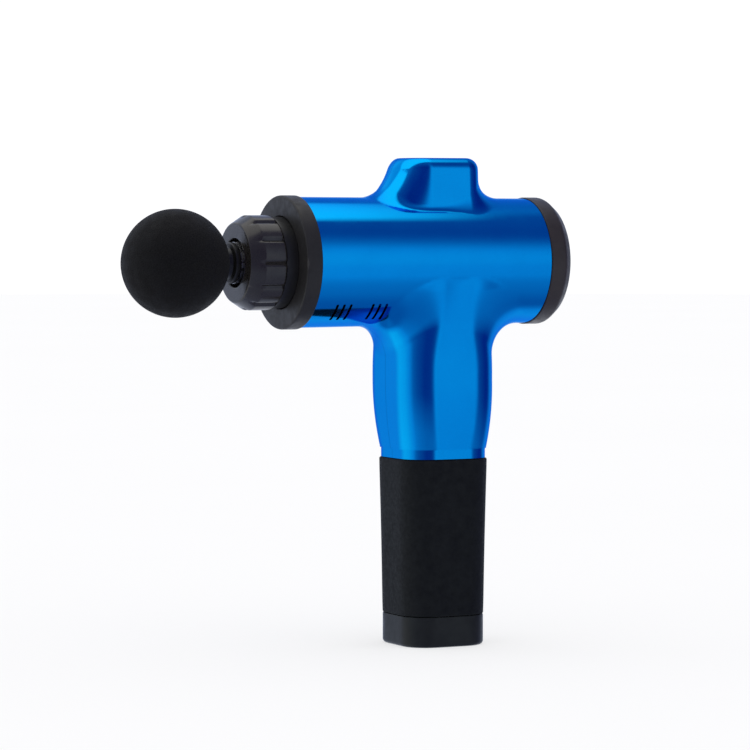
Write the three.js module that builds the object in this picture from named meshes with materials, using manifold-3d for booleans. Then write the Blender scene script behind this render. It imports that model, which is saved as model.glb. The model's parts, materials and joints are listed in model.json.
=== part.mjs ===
// Percussion massage gun with a T-shaped shell: a horizontal barrel, a motor hump on top and a battery grip.
// Millimetres, +Z up, the head points along -X.
// The origin is the middle of the base's underside, on the grip's axis.
import * as THREE from "three";
import { mergeVertices } from "three/addons/utils/BufferGeometryUtils.js";
import Module from "manifold-3d";

const wasm = await Module();
wasm.setup();

// ---- driving dimensions ----
const GAP = 0.3; // clearance between pieces that meet
const RUNNING = 0.15; // radial clearance where one piece turns or slides in another
const AXIS_Z = 182; // barrel axis above the base's underside
const WALL = 2.4; // shell thickness
const CUT = 5; // how far a cutting shape runs past what it cuts
const REACH = 40; // past either side of the gun, for shapes that are trimmed to it afterwards
const FAR = 200; // past the whole gun

const BARREL = { front: -72.5, rear: 47.9, frontRadius: 30.6, rearRadius: 29.9 };
const HUMP = {
  top: 49, halfWidth: 18, corner: 8, edge: 6,
  front: -20.3, slope: 0.85, rear: 18.6, fillet: 9, foot: 29,
};
const COLUMN = { top: -8, bottom: -88.4, half: 24.9, corner: 14.5, endHalf: 22.5, lean: -0.4 };
const NECK = { bottom: -92.9, half: 21.7, corner: 12.8 };
const VENT = { width: 1.6, pitch: 3.5, startAngle: 38, endAngle: 62, groups: [-58, -39.5] };

const FRONT_RING = { front: -80.5, rear: -72.8, radius: 31.3, spigotRear: -69.3, spigotWall: 3 };
const NOSE = {
  front: -95, tipRadius: 17, step: -86.3, radius: 21.4,
  flange: 27, flangeFront: -69, flangeRear: -64.3,
};
const NOSE_WALL = 2.2;
const RIB = { thickness: 1.4, overlap: 1 }; // behind the nose's flange
const BUSHING = { front: -94, rear: -58, outer: 13 };
const COLLAR = { front: -103.5, shoulder: -97.3, rear: -86.6, radius: 22.3, faceRadius: 18.5, hole: 11.5 };
const FLUTE = { count: 12, radius: 1.1, lift: 0.35 };

const CRANK_RADIUS = 6; // half of the 12 mm stroke
const ROD = { length: 38, half: 3.5, bigEnd: 9.6, smallEnd: 6, shank: 4.2 };
const WRIST_X = CRANK_RADIUS - ROD.length;
const PISTON = { front: -104, rear: -26, radius: 9.7, slotFront: -52, slotHalf: 4.4 };
// the piston's bore, wide for the head's shank
const SOCKET = { radius: 6.2, end: -78, hollow: 5.2, hollowEnd: -57 };
const BEARING_RADIUS = 7.2;
const WRIST_RADIUS = 2.5;

const BALL = { x: -133, radius: 25.3, pad: 5.8, core: 2.2 };
const STEM = {
  flange: 9.6, flangeFront: -106.6, flangeRear: -104.3,
  neck: 7.2, neckFront: -114.3, tip: 5.2, tipFront: -120,
};
const SHANK = { radius: 5.8, end: -80.5, chamfer: 1 };
const O_RING = { places: [-98, -87], radius: 5.15, thickness: 0.85, groove: 4, grooveHalf: 1.2 };

const BRACKET = { bottom: 17, top: 19.5, halfX: 18, halfY: 18.4, hole: 4.1 };
const RAIL = { halfLength: 13, thickness: 1.6, inner: 16 }; // holds the bracket's long edges
const MOTOR = {
  radius: 14.9, wall: 1.7, bottom: 22.9, top: 42.4,
  plate: 1.8, chamfer: 1.2, boss: 4.6, bossDepth: 3.6,
};
const MOTOR_BASE = { radius: 11, top: 22, tube: 4.1, tubeWall: 0.6, tubeTop: 38 };
const SHAFT = { radius: 2, bottom: 5, top: 44 };
const BEARING = { bottoms: { lower_bearing: 20.3, upper_bearing: 34.8 }, height: 2.7 };
const STATOR = { bore: 5, gap: 1.5, bottom: 26.8, top: 37.6 };
const WINDING = { bore: 5.2, radius: 11, bottom: 23, top: 26.5 };
const MAGNETS = { thickness: 1.2, bottom: 25.5, top: 38.5 };
const WHEEL = { bottom: 4.2, top: 12, radius: 13, hub: 5, hubTop: 15, lightX: 5.5, lightTop: 8.4, pin: 3 };
const PIN_SCREW = { head: 4.6, headHeight: 1.8, shank: 1.2, end: 2, bore: 1.5, boreEnd: 2.3 };

const REAR_CAP = { front: 48.2, rear: 60, radius: 30.4, face: 23.9, floorFront: 53.6, floorRear: 55.8 };
const PLUG = { front: 43, wall: 2.2 }; // the rear cap's rim that enters the barrel
const LENS = { front: 56.1, rear: 58.1 };
const BUTTON = {
  y: 9, z: -11, radius: 4, lip: 5, lipFront: 52.1, lipRear: 53.3,
  rear: 59, edge: 0.6, switchHalf: 3,
};
const DISPLAY = { halfY: 11, bottom: 2, top: 13, boardFront: 45.8, boardRear: 47.4, boardRadius: 22.5 };
const WINDOW_MARGIN = 1; // between the display and the hole in the cap's floor
const BOARD = { x: 12, thickness: 1.6, halfWidth: 15, bottom: -58, top: -24, guide: 1.5, guideInner: 13 };
const CAPACITOR = { radius: 4, length: 12, y: 6, z: -38 };

const GRIP = { bottom: 14.8, top: 88.8, half: 22.5, corner: 13.5, endHalf: 21.3 };
const CASE = { bottom: 14.8, floor: 16.8, top: 104, half: 19.7, corner: 10.7, wall: 1.1 };
const CELL = { radius: 9, bottom: 17.6, top: 82.6, offset: 9.25, tip: 3, tipHeight: 1 };
const RETAINER = { thickness: 2, flat: 9 }; // flat: half of its straight side
const WIRE_HOLE = 3;
const BASE = { height: 14.5, half: 21.1, corner: 12.9, floor: 3, wall: 2.4, round: 1.8 };
const ROCKER = { x: -10, pivotZ: 5, tilt: 7, halfLength: 6, halfWidth: 4.4, face: 1.6, crest: 0.5, back: 2.2 };
const TRUNNION = { radius: 1.1, reach: 0.9 };
const SWITCH = { bottom: 0.5, ceiling: 10.4, top: 12.4, wall: 1.2, play: 0.7 }; // the housing round the rocker
const JACK = { x: 10, radius: 4.4, mouth: 0.6, top: 12, bore: 2.75, depth: 10.5, pin: 1, pinBottom: 2 };

const SCREW = { head: 2.7, headHeight: 1.8, shank: 1.4, seat: 14, end: -9, post: 4.6, recess: 3.1, drive: 1.2 };
// x and z, z from the barrel's axis
const SCREW_SPOTS = [[-48.6, 20], [-48.6, -20], [34, 19], [34, -19], [0, -68]];
const BASE_SCREW = { y: 13.6, head: 2.3, bottom: 0.4, seat: 1.9, shank: 1.2, column: 3.6 };
const BRACKET_SCREW = { x: 7.6, head: 2.1, headHeight: 1.2, shank: 1.2, end: 21.2 };
const LEAD_RADIUS = 1.1;

// ---- materials ----
const paint = (color, roughness, metalness) => new THREE.MeshStandardMaterial({ color, roughness, metalness });
const MATERIALS = {
  blue_metallic: paint(0x0a4fb8, 0.25, 0.6),
  dark_grey: paint(0x3a393e, 0.4, 0.1),
  black_plastic: paint(0x1b1c1f, 0.4, 0),
  grip_rubber: paint(0x17191b, 0.75, 0),
  ball_foam: paint(0x121314, 0.75, 0),
  o_ring_rubber: paint(0x0e0e0f, 0.4, 0),
  steel: paint(0xb8bcc0, 0.2, 1),
  aluminium: paint(0xc8ccd0, 0.4, 1),
  white_polymer: paint(0xd8d6cc, 0.4, 0),
  bronze: paint(0xb08a4a, 0.4, 1),
  copper: paint(0xb4632e, 0.4, 1),
  magnet: paint(0x6b6d70, 0.4, 0.8),
  circuit_board: paint(0x1d5c35, 0.4, 0),
  black_glass: paint(0x08090b, 0.1, 0),
  cell_wrap: paint(0x2d6fb0, 0.4, 0),
  wire: paint(0x9c1f1f, 0.4, 0),
};

// ---- solids ----
// A closed three.js geometry as a manifold solid.
function solid(geometry) {
  const bare = geometry.clone();
  bare.deleteAttribute("normal");
  bare.deleteAttribute("uv");
  const merged = mergeVertices(bare, 1e-4);
  return new wasm.Manifold(
    new wasm.Mesh({
      numProp: 3,
      vertProperties: new Float32Array(merged.attributes.position.array),
      triVerts: new Uint32Array(merged.index.array),
    }),
  );
}

// A manifold solid as a three.js geometry.
function geometryOf(body) {
  const mesh = body.getMesh();
  const positions = new Float32Array(mesh.numVert * 3);
  for (let i = 0; i < mesh.numVert; i++) {
    positions.set(mesh.vertProperties.subarray(i * mesh.numProp, i * mesh.numProp + 3), i * 3);
  }
  const geometry = new THREE.BufferGeometry().setAttribute("position", new THREE.BufferAttribute(positions, 3));
  return geometry.setIndex(new THREE.BufferAttribute(new Uint32Array(mesh.triVerts), 1));
}

// A profile of [radius, height] corners turned about +Y. A profile that meets the axis starts and ends on it.
function turned(profile, segments) {
  const area = profile.reduce((sum, [r, h], i) => {
    const [nextR, nextH] = profile[(i + 1) % profile.length];
    return sum + r * nextH - nextR * h;
  }, 0);
  const corners = area > 0 ? profile : [...profile].reverse();
  const first = corners.findIndex(([r], i) => r === 0 && corners.at(i - 1)[0] === 0);
  const ordered = first > 0 ? [...corners.slice(first), ...corners.slice(0, first)] : corners;
  const points = ordered.map(([r, h]) => new THREE.Vector2(r, h));
  if (first < 0) points.push(points[0].clone());
  return new THREE.LatheGeometry(points, segments);
}
const turnedX = (profile, segments = 28) => turned(profile, segments).rotateZ(-Math.PI / 2);
const turnedZ = (profile, segments = 18) => turned(profile, segments).rotateX(Math.PI / 2);

// A ring, or a disc when its inner radius is 0, between two places along its axis.
const ring = (inner, outer, from, to) => [[inner, from], [outer, from], [outer, to], [inner, to]];
const ringX = (inner, outer, from, to, segments) => turnedX(ring(inner, outer, from, to), segments);
const ringZ = (inner, outer, from, to, segments) => turnedZ(ring(inner, outer, from, to), segments);
const rodY = (radius, from, to, x, z, segments = 10) =>
  turned(ring(0, radius, from, to), segments).translate(x, 0, z);
const box = (x0, x1, y0, y1, z0, z1) =>
  new THREE.BoxGeometry(x1 - x0, y1 - y0, z1 - z0).translate((x0 + x1) / 2, (y0 + y1) / 2, (z0 + z1) / 2);
const halfSpace = (side) => box(-FAR, FAR, side > 0 ? GAP / 2 : -FAR, side > 0 ? FAR : -GAP / 2, -FAR, FAR);
const united = (bodies) => bodies.reduce((sum, body) => sum.add(body));
const without = (body, cutters) => cutters.reduce((rest, cutter) => rest.subtract(cutter), body);

// Corners along an arc in a [radius, height] profile, the angle counted from the axis' positive end.
const arc = (centre, radius, from, to, steps) =>
  Array.from({ length: steps + 1 }, (_, i) => {
    const angle = from + ((to - from) * i) / steps;
    return [radius * Math.sin(angle), centre + radius * Math.cos(angle)];
  });

// A square with round corners, centred on the origin.
function roundedSquare(half, corner) {
  const inner = half - corner;
  const shape = new THREE.Shape();
  shape.absarc(inner, inner, corner, 0, Math.PI / 2);
  shape.absarc(-inner, inner, corner, Math.PI / 2, Math.PI);
  shape.absarc(-inner, -inner, corner, Math.PI, 1.5 * Math.PI);
  shape.absarc(inner, -inner, corner, 1.5 * Math.PI, 2 * Math.PI);
  return shape;
}

// A rounded square carried up Z. section(t) may give its height, its scales and its shift at each step.
function squareBar(half, corner, from, to, { steps = 1, segments = 2, section = null } = {}) {
  const geometry = new THREE.ExtrudeGeometry(roundedSquare(half, corner), {
    depth: to - from,
    steps,
    curveSegments: segments,
    bevelEnabled: false,
  });
  const position = geometry.attributes.position;
  for (let i = 0; section && i < position.count; i++) {
    const at = section(position.getZ(i) / (to - from));
    position.setXYZ(i, position.getX(i) * at.scaleX + at.shiftX, position.getY(i) * at.scaleY, at.z - from);
  }
  return geometry.translate(0, 0, from);
}

const clamp01 = (value) => Math.min(Math.max(value, 0), 1);

// ---- the T-shaped shell ----
const barrelRadius = (x) => {
  const t = (x - BARREL.front) / (BARREL.rear - BARREL.front);
  return BARREL.frontRadius + t * (BARREL.rearRadius - BARREL.frontRadius);
};

// The column flares into the barrel at its top and draws in at its bottom.
function columnSolid(inset, steps, segments) {
  const height = COLUMN.top - COLUMN.bottom;
  const half = COLUMN.half - inset;
  const draw = 1 - (COLUMN.endHalf - inset) / half;
  const section = (t) => {
    const low = clamp01(1 - t / 0.38) ** 2;
    const flare = clamp01((t - 0.5) / 0.3) ** 2;
    const scale = 1 - draw * low;
    return {
      z: COLUMN.bottom + t * height,
      scaleX: scale + 0.5 * flare,
      scaleY: scale + 0.1 * flare,
      shiftX: 1.6 * flare + COLUMN.lean * clamp01(t / 0.4),
    };
  };
  return solid(squareBar(half, COLUMN.corner - inset, COLUMN.bottom, COLUMN.top, { steps, segments, section }));
}

// The hump slopes at the front, stands upright at the rear and rounds over at its top.
function humpSolid(inset, steps, segments) {
  const top = HUMP.top - inset;
  const half = HUMP.halfWidth - inset;
  const edge = HUMP.edge - inset / 2;
  const section = (t) => {
    const z = top * (1 - (1 - t) ** 1.7);
    const over = clamp01((z - top + edge) / edge);
    const round = edge * (1 - Math.sqrt(1 - over ** 2));
    const low = clamp01((HUMP.foot + HUMP.fillet - z) / HUMP.fillet);
    const spread = HUMP.fillet * (1 - Math.sqrt(1 - low ** 2));
    const fall = Math.min(Math.max(HUMP.top - HUMP.edge - z, 0), HUMP.top - HUMP.edge - HUMP.foot);
    const front = HUMP.front + inset - HUMP.slope * fall + round;
    const rear = HUMP.rear - inset + spread - round;
    const width = half + 0.25 * spread - round;
    return { z, scaleX: (rear - front) / 2 / half, scaleY: width / half, shiftX: (rear + front) / 2 };
  };
  return solid(squareBar(half, HUMP.corner - inset / 2, 0, top, { steps, segments, section }));
}

// One cooling slot on each side of the barrel, between two angles below the horizontal.
function ventSlots(x) {
  const [start, end] = [VENT.startAngle, VENT.endAngle].map(THREE.MathUtils.degToRad);
  const near = BARREL.frontRadius - WALL - 2;
  const far = BARREL.frontRadius + CUT;
  const slot = new THREE.Shape();
  slot.absarc(0, 0, far, -end, -start);
  slot.absarc(0, 0, near, -start, -end, true);
  const slab = new THREE.ExtrudeGeometry(slot, { depth: VENT.width, curveSegments: 1, bevelEnabled: false });
  slab.rotateX(Math.PI / 2).rotateZ(Math.PI / 2).translate(x - VENT.width / 2, 0, 0);
  const side = solid(slab);
  return side.add(side.mirror([0, 1, 0]));
}

function shellSolid() {
  const { front, rear } = BARREL;
  const tapered = (inset, from, to, segments) =>
    solid(
      turnedX(
        [[0, from], [barrelRadius(from) - inset, from], [barrelRadius(to) - inset, to], [0, to]],
        segments,
      ),
    );
  const neck = solid(squareBar(NECK.half, NECK.corner, NECK.bottom, COLUMN.bottom + 2, { segments: 3 }));
  const outer = tapered(0, front, rear, 40).add(columnSolid(0, 9, 3)).add(humpSolid(0, 9, 3)).add(neck);
  const bore = solid(squareBar(CASE.half + GAP, CASE.corner + GAP, NECK.bottom - CUT, COLUMN.bottom + CUT));
  const hollow = tapered(WALL, front - CUT, rear + CUT, 24)
    .add(columnSolid(WALL, 6, 1))
    .add(humpSolid(WALL, 5, 1))
    .add(bore);

  // posts for the screws, a rib behind the nose's flange, rails for the bracket, guides for the control board
  const posts = SCREW_SPOTS.map(([x, z]) => solid(rodY(SCREW.post, -REACH, REACH, x, z)));
  const ribFront = NOSE.flangeRear + GAP;
  const ribRing = (inner, outer) => solid(ringX(inner, outer, ribFront, ribFront + RIB.thickness, 24));
  const ribs = [ribRing(NOSE.radius, NOSE.flange), ribRing(NOSE.flange - RIB.overlap, BARREL.frontRadius)];
  const along = (side, inner) => (side > 0 ? [inner, REACH] : [-REACH, -inner]);
  const railAt = (side, bottom) =>
    solid(box(-RAIL.halfLength, RAIL.halfLength, ...along(side, RAIL.inner), bottom, bottom + RAIL.thickness));
  const guideAt = (side, from, to) =>
    solid(box(from, to, ...along(side, BOARD.guideInner), BOARD.bottom, BOARD.top));
  const boardRear = BOARD.x + BOARD.thickness;
  const rails = [-1, 1].flatMap((side) => [
    railAt(side, BRACKET.bottom - GAP - RAIL.thickness),
    railAt(side, BRACKET.top + GAP),
    guideAt(side, BOARD.x - GAP - BOARD.guide, BOARD.x - GAP),
    guideAt(side, boardRear + GAP, boardRear + GAP + BOARD.guide),
  ]);
  const inside = united([...posts, ...ribs, ...rails]).intersect(outer);
  const slots = VENT.groups.flatMap((x) => [-1, 0, 1].map((k) => ventSlots(x + k * VENT.pitch)));
  return without(outer.subtract(hollow).add(inside), slots);
}

// ---- placing ----
const gun = new THREE.Group();
const upper = new THREE.Group(); // heights in here are counted from the barrel's axis
upper.position.z = AXIS_Z;
gun.add(upper);

function place(parent, name, material, body) {
  const mesh = new THREE.Mesh(body.isBufferGeometry ? body : geometryOf(body), MATERIALS[material]);
  mesh.name = name;
  parent.add(mesh);
}

// ---- shell halves and their screws ----
const shell = shellSolid();
const screwHoles = SCREW_SPOTS.map(([x, z]) =>
  solid(rodY(SCREW.shank + GAP, SCREW.end - GAP, SCREW.seat + CUT, x, z)).add(
    solid(rodY(SCREW.recess, SCREW.seat, REACH, x, z)),
  ),
);
const drilled = without(shell, screwHoles);
place(upper, "left_housing_shell", "blue_metallic", drilled.intersect(solid(halfSpace(-1))));
place(upper, "right_housing_shell", "blue_metallic", drilled.intersect(solid(halfSpace(1))));
SCREW_SPOTS.forEach(([x, z], i) => {
  const seat = SCREW.seat + GAP / 2;
  const profile = [[0, SCREW.end], [SCREW.shank, SCREW.end], [SCREW.shank, seat], [SCREW.head, seat]];
  const top = seat + SCREW.headHeight;
  profile.push([SCREW.head, top], [SCREW.drive, top], [SCREW.drive, top - 1], [0, top - 1]);
  place(upper, `shell_screw_${i + 1}`, "steel", turned(profile, 8).translate(x, 0, z));
});

// ---- nose: ring, block, bushing, collar ----
const spigot = barrelRadius(BARREL.front) - WALL - GAP;
place(
  upper,
  "front_ring",
  "dark_grey",
  turnedX(
    [
      [NOSE.radius + GAP, FRONT_RING.front],
      [FRONT_RING.radius - 0.8, FRONT_RING.front],
      [FRONT_RING.radius, FRONT_RING.front + 0.8],
      [FRONT_RING.radius, FRONT_RING.rear],
      [spigot, FRONT_RING.rear],
      [spigot, FRONT_RING.spigotRear],
      [spigot - FRONT_RING.spigotWall, FRONT_RING.spigotRear],
      [spigot - FRONT_RING.spigotWall, FRONT_RING.rear],
      [NOSE.radius + GAP, FRONT_RING.rear],
    ],
    36,
  ),
);
place(
  upper,
  "nose_block",
  "black_plastic",
  turnedX([
    [BUSHING.outer + GAP, NOSE.front],
    [NOSE.tipRadius, NOSE.front],
    [NOSE.tipRadius, NOSE.step],
    [NOSE.radius, NOSE.step],
    [NOSE.radius, NOSE.flangeFront],
    [NOSE.flange, NOSE.flangeFront],
    [NOSE.flange, NOSE.flangeRear],
    [NOSE.radius - NOSE_WALL, NOSE.flangeRear],
    [NOSE.radius - NOSE_WALL, NOSE.step + NOSE_WALL],
    [BUSHING.outer + NOSE_WALL, NOSE.step + NOSE_WALL],
    [BUSHING.outer + NOSE_WALL, BUSHING.rear],
    [BUSHING.outer + GAP, BUSHING.rear],
  ]),
);
const bushingInner = PISTON.radius + RUNNING;
place(upper, "guide_bushing", "white_polymer", ringX(bushingInner, BUSHING.outer, BUSHING.front, BUSHING.rear));

function collarSolid() {
  const body = solid(
    turnedX(
      [
        [COLLAR.hole, COLLAR.front],
        [COLLAR.faceRadius, COLLAR.front],
        [COLLAR.radius, COLLAR.shoulder],
        [COLLAR.radius, COLLAR.rear],
        [NOSE.tipRadius + GAP, COLLAR.rear],
        [NOSE.tipRadius + GAP, NOSE.front - GAP],
        [COLLAR.hole, NOSE.front - GAP],
      ],
      36,
    ),
  );
  const flutes = Array.from({ length: FLUTE.count }, (_, i) => {
    const flute = ringX(0, FLUTE.radius, COLLAR.front - CUT, COLLAR.rear + CUT, 5);
    flute.translate(0, 0, COLLAR.radius + FLUTE.lift).rotateX(((i + 0.5) * 2 * Math.PI) / FLUTE.count);
    return solid(flute);
  });
  return without(body, flutes);
}
place(upper, "nose_collar", "dark_grey", collarSolid());

// ---- piston, connecting rod, crank ----
const pistonBody = solid(
  turnedX([
    [0, SOCKET.hollowEnd],
    [SOCKET.hollow, SOCKET.hollowEnd],
    [SOCKET.hollow, SOCKET.end],
    [SOCKET.radius, SOCKET.end],
    [SOCKET.radius, PISTON.front],
    [PISTON.radius, PISTON.front],
    [PISTON.radius, PISTON.rear],
    [0, PISTON.rear],
  ]),
);
const { slotFront, slotHalf } = PISTON;
const slotReach = PISTON.radius + CUT;
const forkSlot = solid(box(slotFront, PISTON.rear + CUT, -slotReach, slotReach, -slotHalf, slotHalf));
place(upper, "piston", "aluminium", pistonBody.subtract(forkSlot));

const rodEye = (outer, x) => solid(ringZ(0, outer, -ROD.half, ROD.half, 24).translate(x, 0, 0));
const rodBore = (radius, x) => solid(ringZ(0, radius, -ROD.half - CUT, ROD.half + CUT, 20).translate(x, 0, 0));
place(
  upper,
  "connecting_rod",
  "aluminium",
  rodEye(ROD.bigEnd, CRANK_RADIUS)
    .add(rodEye(ROD.smallEnd, WRIST_X))
    .add(solid(box(WRIST_X, CRANK_RADIUS, -ROD.shank, ROD.shank, -ROD.half, ROD.half)))
    .subtract(rodBore(BEARING_RADIUS + GAP, CRANK_RADIUS))
    .subtract(rodBore(WRIST_RADIUS + GAP, WRIST_X)),
);
place(
  upper,
  "crank_bearing",
  "steel",
  ringZ(WHEEL.pin + RUNNING, BEARING_RADIUS, -ROD.half + GAP, ROD.half - GAP).translate(CRANK_RADIUS, 0, 0),
);
place(upper, "wrist_pin", "steel", ringZ(0, WRIST_RADIUS, -ROD.half, ROD.half, 16).translate(WRIST_X, 0, 0));

const wheel = solid(
  turnedZ(
    [
      [0, WHEEL.bottom],
      [WHEEL.radius, WHEEL.bottom],
      [WHEEL.radius, WHEEL.top],
      [WHEEL.hub, WHEEL.top],
      [WHEEL.hub, WHEEL.hubTop],
      [0, WHEEL.hubTop],
    ],
    28,
  ),
)
  .subtract(solid(box(WHEEL.lightX, REACH, -REACH, REACH, WHEEL.lightTop, WHEEL.hubTop)))
  .add(solid(ringZ(0, WHEEL.pin, -ROD.half, WHEEL.bottom + 1, 20).translate(CRANK_RADIUS, 0, 0)))
  .subtract(solid(ringZ(0, SHAFT.radius + GAP, WHEEL.bottom - 0.01, WHEEL.hubTop + CUT, 16)))
  .subtract(solid(ringZ(0, PIN_SCREW.bore, -ROD.half - CUT, PIN_SCREW.boreEnd, 12).translate(CRANK_RADIUS, 0, 0)));
place(upper, "crank_wheel", "steel", wheel);
place(
  upper,
  "crank_pin_screw",
  "steel",
  turnedZ(
    [
      [0, -ROD.half - PIN_SCREW.headHeight],
      [PIN_SCREW.head, -ROD.half - PIN_SCREW.headHeight],
      [PIN_SCREW.head, -ROD.half - GAP],
      [PIN_SCREW.shank, -ROD.half - GAP],
      [PIN_SCREW.shank, PIN_SCREW.end],
      [0, PIN_SCREW.end],
    ],
    10,
  ).translate(CRANK_RADIUS, 0, 0),
);

// ---- motor ----
const screwAt = (side) => side * BRACKET_SCREW.x;
const screwBores = [-1, 1].map((side) =>
  solid(ringZ(0, BRACKET_SCREW.shank + GAP, 0, MOTOR_BASE.top - 0.5, 12).translate(screwAt(side), 0, 0)),
);
const { halfX, halfY, bottom: plateBottom, top: plateTop } = BRACKET;
const plate = solid(box(-halfX, halfX, -halfY, halfY, plateBottom, plateTop));
const plateHole = solid(ringZ(0, BRACKET.hole, plateBottom - CUT, plateTop + CUT));
place(upper, "motor_bracket", "aluminium", without(plate, [plateHole, ...screwBores]));
const tubeOuter = MOTOR_BASE.tube + MOTOR_BASE.tubeWall;
const motorBase = solid(
  turnedZ([
    [MOTOR_BASE.tube, BRACKET.top + GAP],
    [MOTOR_BASE.radius, BRACKET.top + GAP],
    [MOTOR_BASE.radius, MOTOR_BASE.top],
    [tubeOuter, MOTOR_BASE.top],
    [tubeOuter, MOTOR_BASE.tubeTop],
    [MOTOR_BASE.tube, MOTOR_BASE.tubeTop],
  ]),
);
place(upper, "motor_base", "aluminium", without(motorBase, screwBores));
[-1, 1].forEach((side, i) => {
  const { head, headHeight, shank, end } = BRACKET_SCREW;
  const under = BRACKET.bottom - GAP / 2;
  const profile = [[0, under - headHeight], [head, under - headHeight], [head, under]];
  profile.push([shank, under], [shank, end], [0, end]);
  place(upper, `bracket_screw_${i + 1}`, "steel", turnedZ(profile, 8).translate(screwAt(side), 0, 0));
});
const bellInner = MOTOR.radius - MOTOR.wall;
place(upper, "stator_core", "magnet", ringZ(STATOR.bore, bellInner - STATOR.gap, STATOR.bottom, STATOR.top));
place(upper, "stator_winding", "copper", ringZ(WINDING.bore, WINDING.radius, WINDING.bottom, WINDING.top));
Object.entries(BEARING.bottoms).forEach(([name, bottom]) => {
  const outer = MOTOR_BASE.tube - GAP;
  place(upper, name, "steel", ringZ(SHAFT.radius + RUNNING, outer, bottom, bottom + BEARING.height, 12));
});
place(upper, "motor_shaft", "steel", ringZ(0, SHAFT.radius, SHAFT.bottom, SHAFT.top, 12));
place(
  upper,
  "motor_bell",
  "steel",
  turnedZ(
    [
      [SHAFT.radius + GAP, MOTOR.top - MOTOR.bossDepth],
      [MOTOR.boss, MOTOR.top - MOTOR.bossDepth],
      [MOTOR.boss, MOTOR.top - MOTOR.plate],
      [bellInner, MOTOR.top - MOTOR.plate],
      [bellInner, MOTOR.bottom],
      [MOTOR.radius, MOTOR.bottom],
      [MOTOR.radius, MOTOR.top - MOTOR.chamfer],
      [MOTOR.radius - MOTOR.chamfer, MOTOR.top],
      [SHAFT.radius + GAP, MOTOR.top],
    ],
    24,
  ),
);
const magnetInner = bellInner - MAGNETS.thickness;
place(upper, "magnet_ring", "magnet", ringZ(magnetInner, bellInner - GAP, MAGNETS.bottom, MAGNETS.top, 24));

// ---- massage head ----
const { x: ballX, radius: ballRadius } = BALL;
const shellAround = (outer, inner, hole, outerSteps, innerSteps) => [
  ...arc(ballX, outer, Math.asin(hole / outer), Math.PI, outerSteps),
  ...arc(ballX, inner, Math.PI, Math.asin(hole / inner), innerSteps),
];
const axial = (profile) => profile.map(([r, x]) => [Math.abs(r) < 1e-6 ? 0 : r, x]);
const coreRadius = ballRadius - BALL.pad - 3 * GAP;
place(
  upper,
  "ball_cover",
  "ball_foam",
  turnedX(axial(shellAround(ballRadius, ballRadius - BALL.pad, STEM.neck + GAP, 10, 6)), 26),
);
place(
  upper,
  "ball_core",
  "black_plastic",
  turnedX(axial(shellAround(coreRadius, coreRadius - BALL.core, STEM.tip + GAP, 6, 5)), 16),
);
const grooved = [...O_RING.places].reverse().flatMap((x) => [
  [SHANK.radius, x + O_RING.grooveHalf],
  [O_RING.groove, x + O_RING.grooveHalf],
  [O_RING.groove, x - O_RING.grooveHalf],
  [SHANK.radius, x - O_RING.grooveHalf],
]);
place(
  upper,
  "head_stem",
  "black_plastic",
  turnedX(
    [
      [0, SHANK.end],
      [SHANK.radius - SHANK.chamfer, SHANK.end],
      [SHANK.radius, SHANK.end - SHANK.chamfer],
      ...grooved,
      [SHANK.radius, STEM.flangeRear],
      [STEM.flange, STEM.flangeRear],
      [STEM.flange, STEM.flangeFront],
      [STEM.neck, STEM.flangeFront],
      [STEM.neck, STEM.neckFront],
      [STEM.tip, STEM.neckFront],
      [STEM.tip, STEM.tipFront],
      [0, STEM.tipFront],
    ],
    16,
  ),
);
O_RING.places.forEach((x, i) => {
  const hoop = new THREE.TorusGeometry(O_RING.radius, O_RING.thickness, 6, 16).rotateY(Math.PI / 2);
  place(upper, `o_ring_${i + 1}`, "o_ring_rubber", hoop.translate(x, 0, 0));
});

// ---- rear cap, display and buttons ----
const { face, floorFront, floorRear } = REAR_CAP;
const plug = BARREL.rearRadius - WALL - GAP;
const buttonSpots = [1, -1].map((side) => side * BUTTON.y);
const buttonHoles = buttonSpots.map((y) =>
  solid(ringX(0, BUTTON.radius + GAP, floorFront - CUT, REAR_CAP.rear + CUT, 14).translate(0, y, BUTTON.z)),
);
const capBody = solid(
  turnedX(
    [
      [0, floorFront],
      [plug - PLUG.wall, floorFront],
      [plug - PLUG.wall, PLUG.front],
      [plug, PLUG.front],
      [plug, REAR_CAP.front],
      [REAR_CAP.radius - 0.3, REAR_CAP.front],
      [REAR_CAP.radius, REAR_CAP.front + 0.8],
      [REAR_CAP.radius - 0.1, REAR_CAP.rear - 4.6],
      [REAR_CAP.radius - 0.9, REAR_CAP.rear - 2.4],
      [REAR_CAP.radius - 2.5, REAR_CAP.rear - 0.8],
      [REAR_CAP.radius - 4.4, REAR_CAP.rear],
      [face + 1.2, REAR_CAP.rear],
      [face + GAP, floorRear + GAP],
      [face + GAP, floorRear],
      [0, floorRear],
    ],
    32,
  ),
);
const windowHalf = DISPLAY.halfY + WINDOW_MARGIN;
const [sill, lintel] = [DISPLAY.bottom - WINDOW_MARGIN, DISPLAY.top + WINDOW_MARGIN];
const displayWindow = solid(box(floorFront - CUT, floorRear + CUT, -windowHalf, windowHalf, sill, lintel));
place(upper, "rear_cap", "dark_grey", without(capBody, [displayWindow, ...buttonHoles]));
const lens = solid(ringX(0, face, LENS.front, LENS.rear, 32));
place(upper, "display_lens", "black_glass", without(lens, buttonHoles));
const displayBoard = ringX(0, DISPLAY.boardRadius, DISPLAY.boardFront, DISPLAY.boardRear, 20);
place(upper, "display_board", "circuit_board", displayBoard);
const onBoard = DISPLAY.boardRear + GAP;
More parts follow.
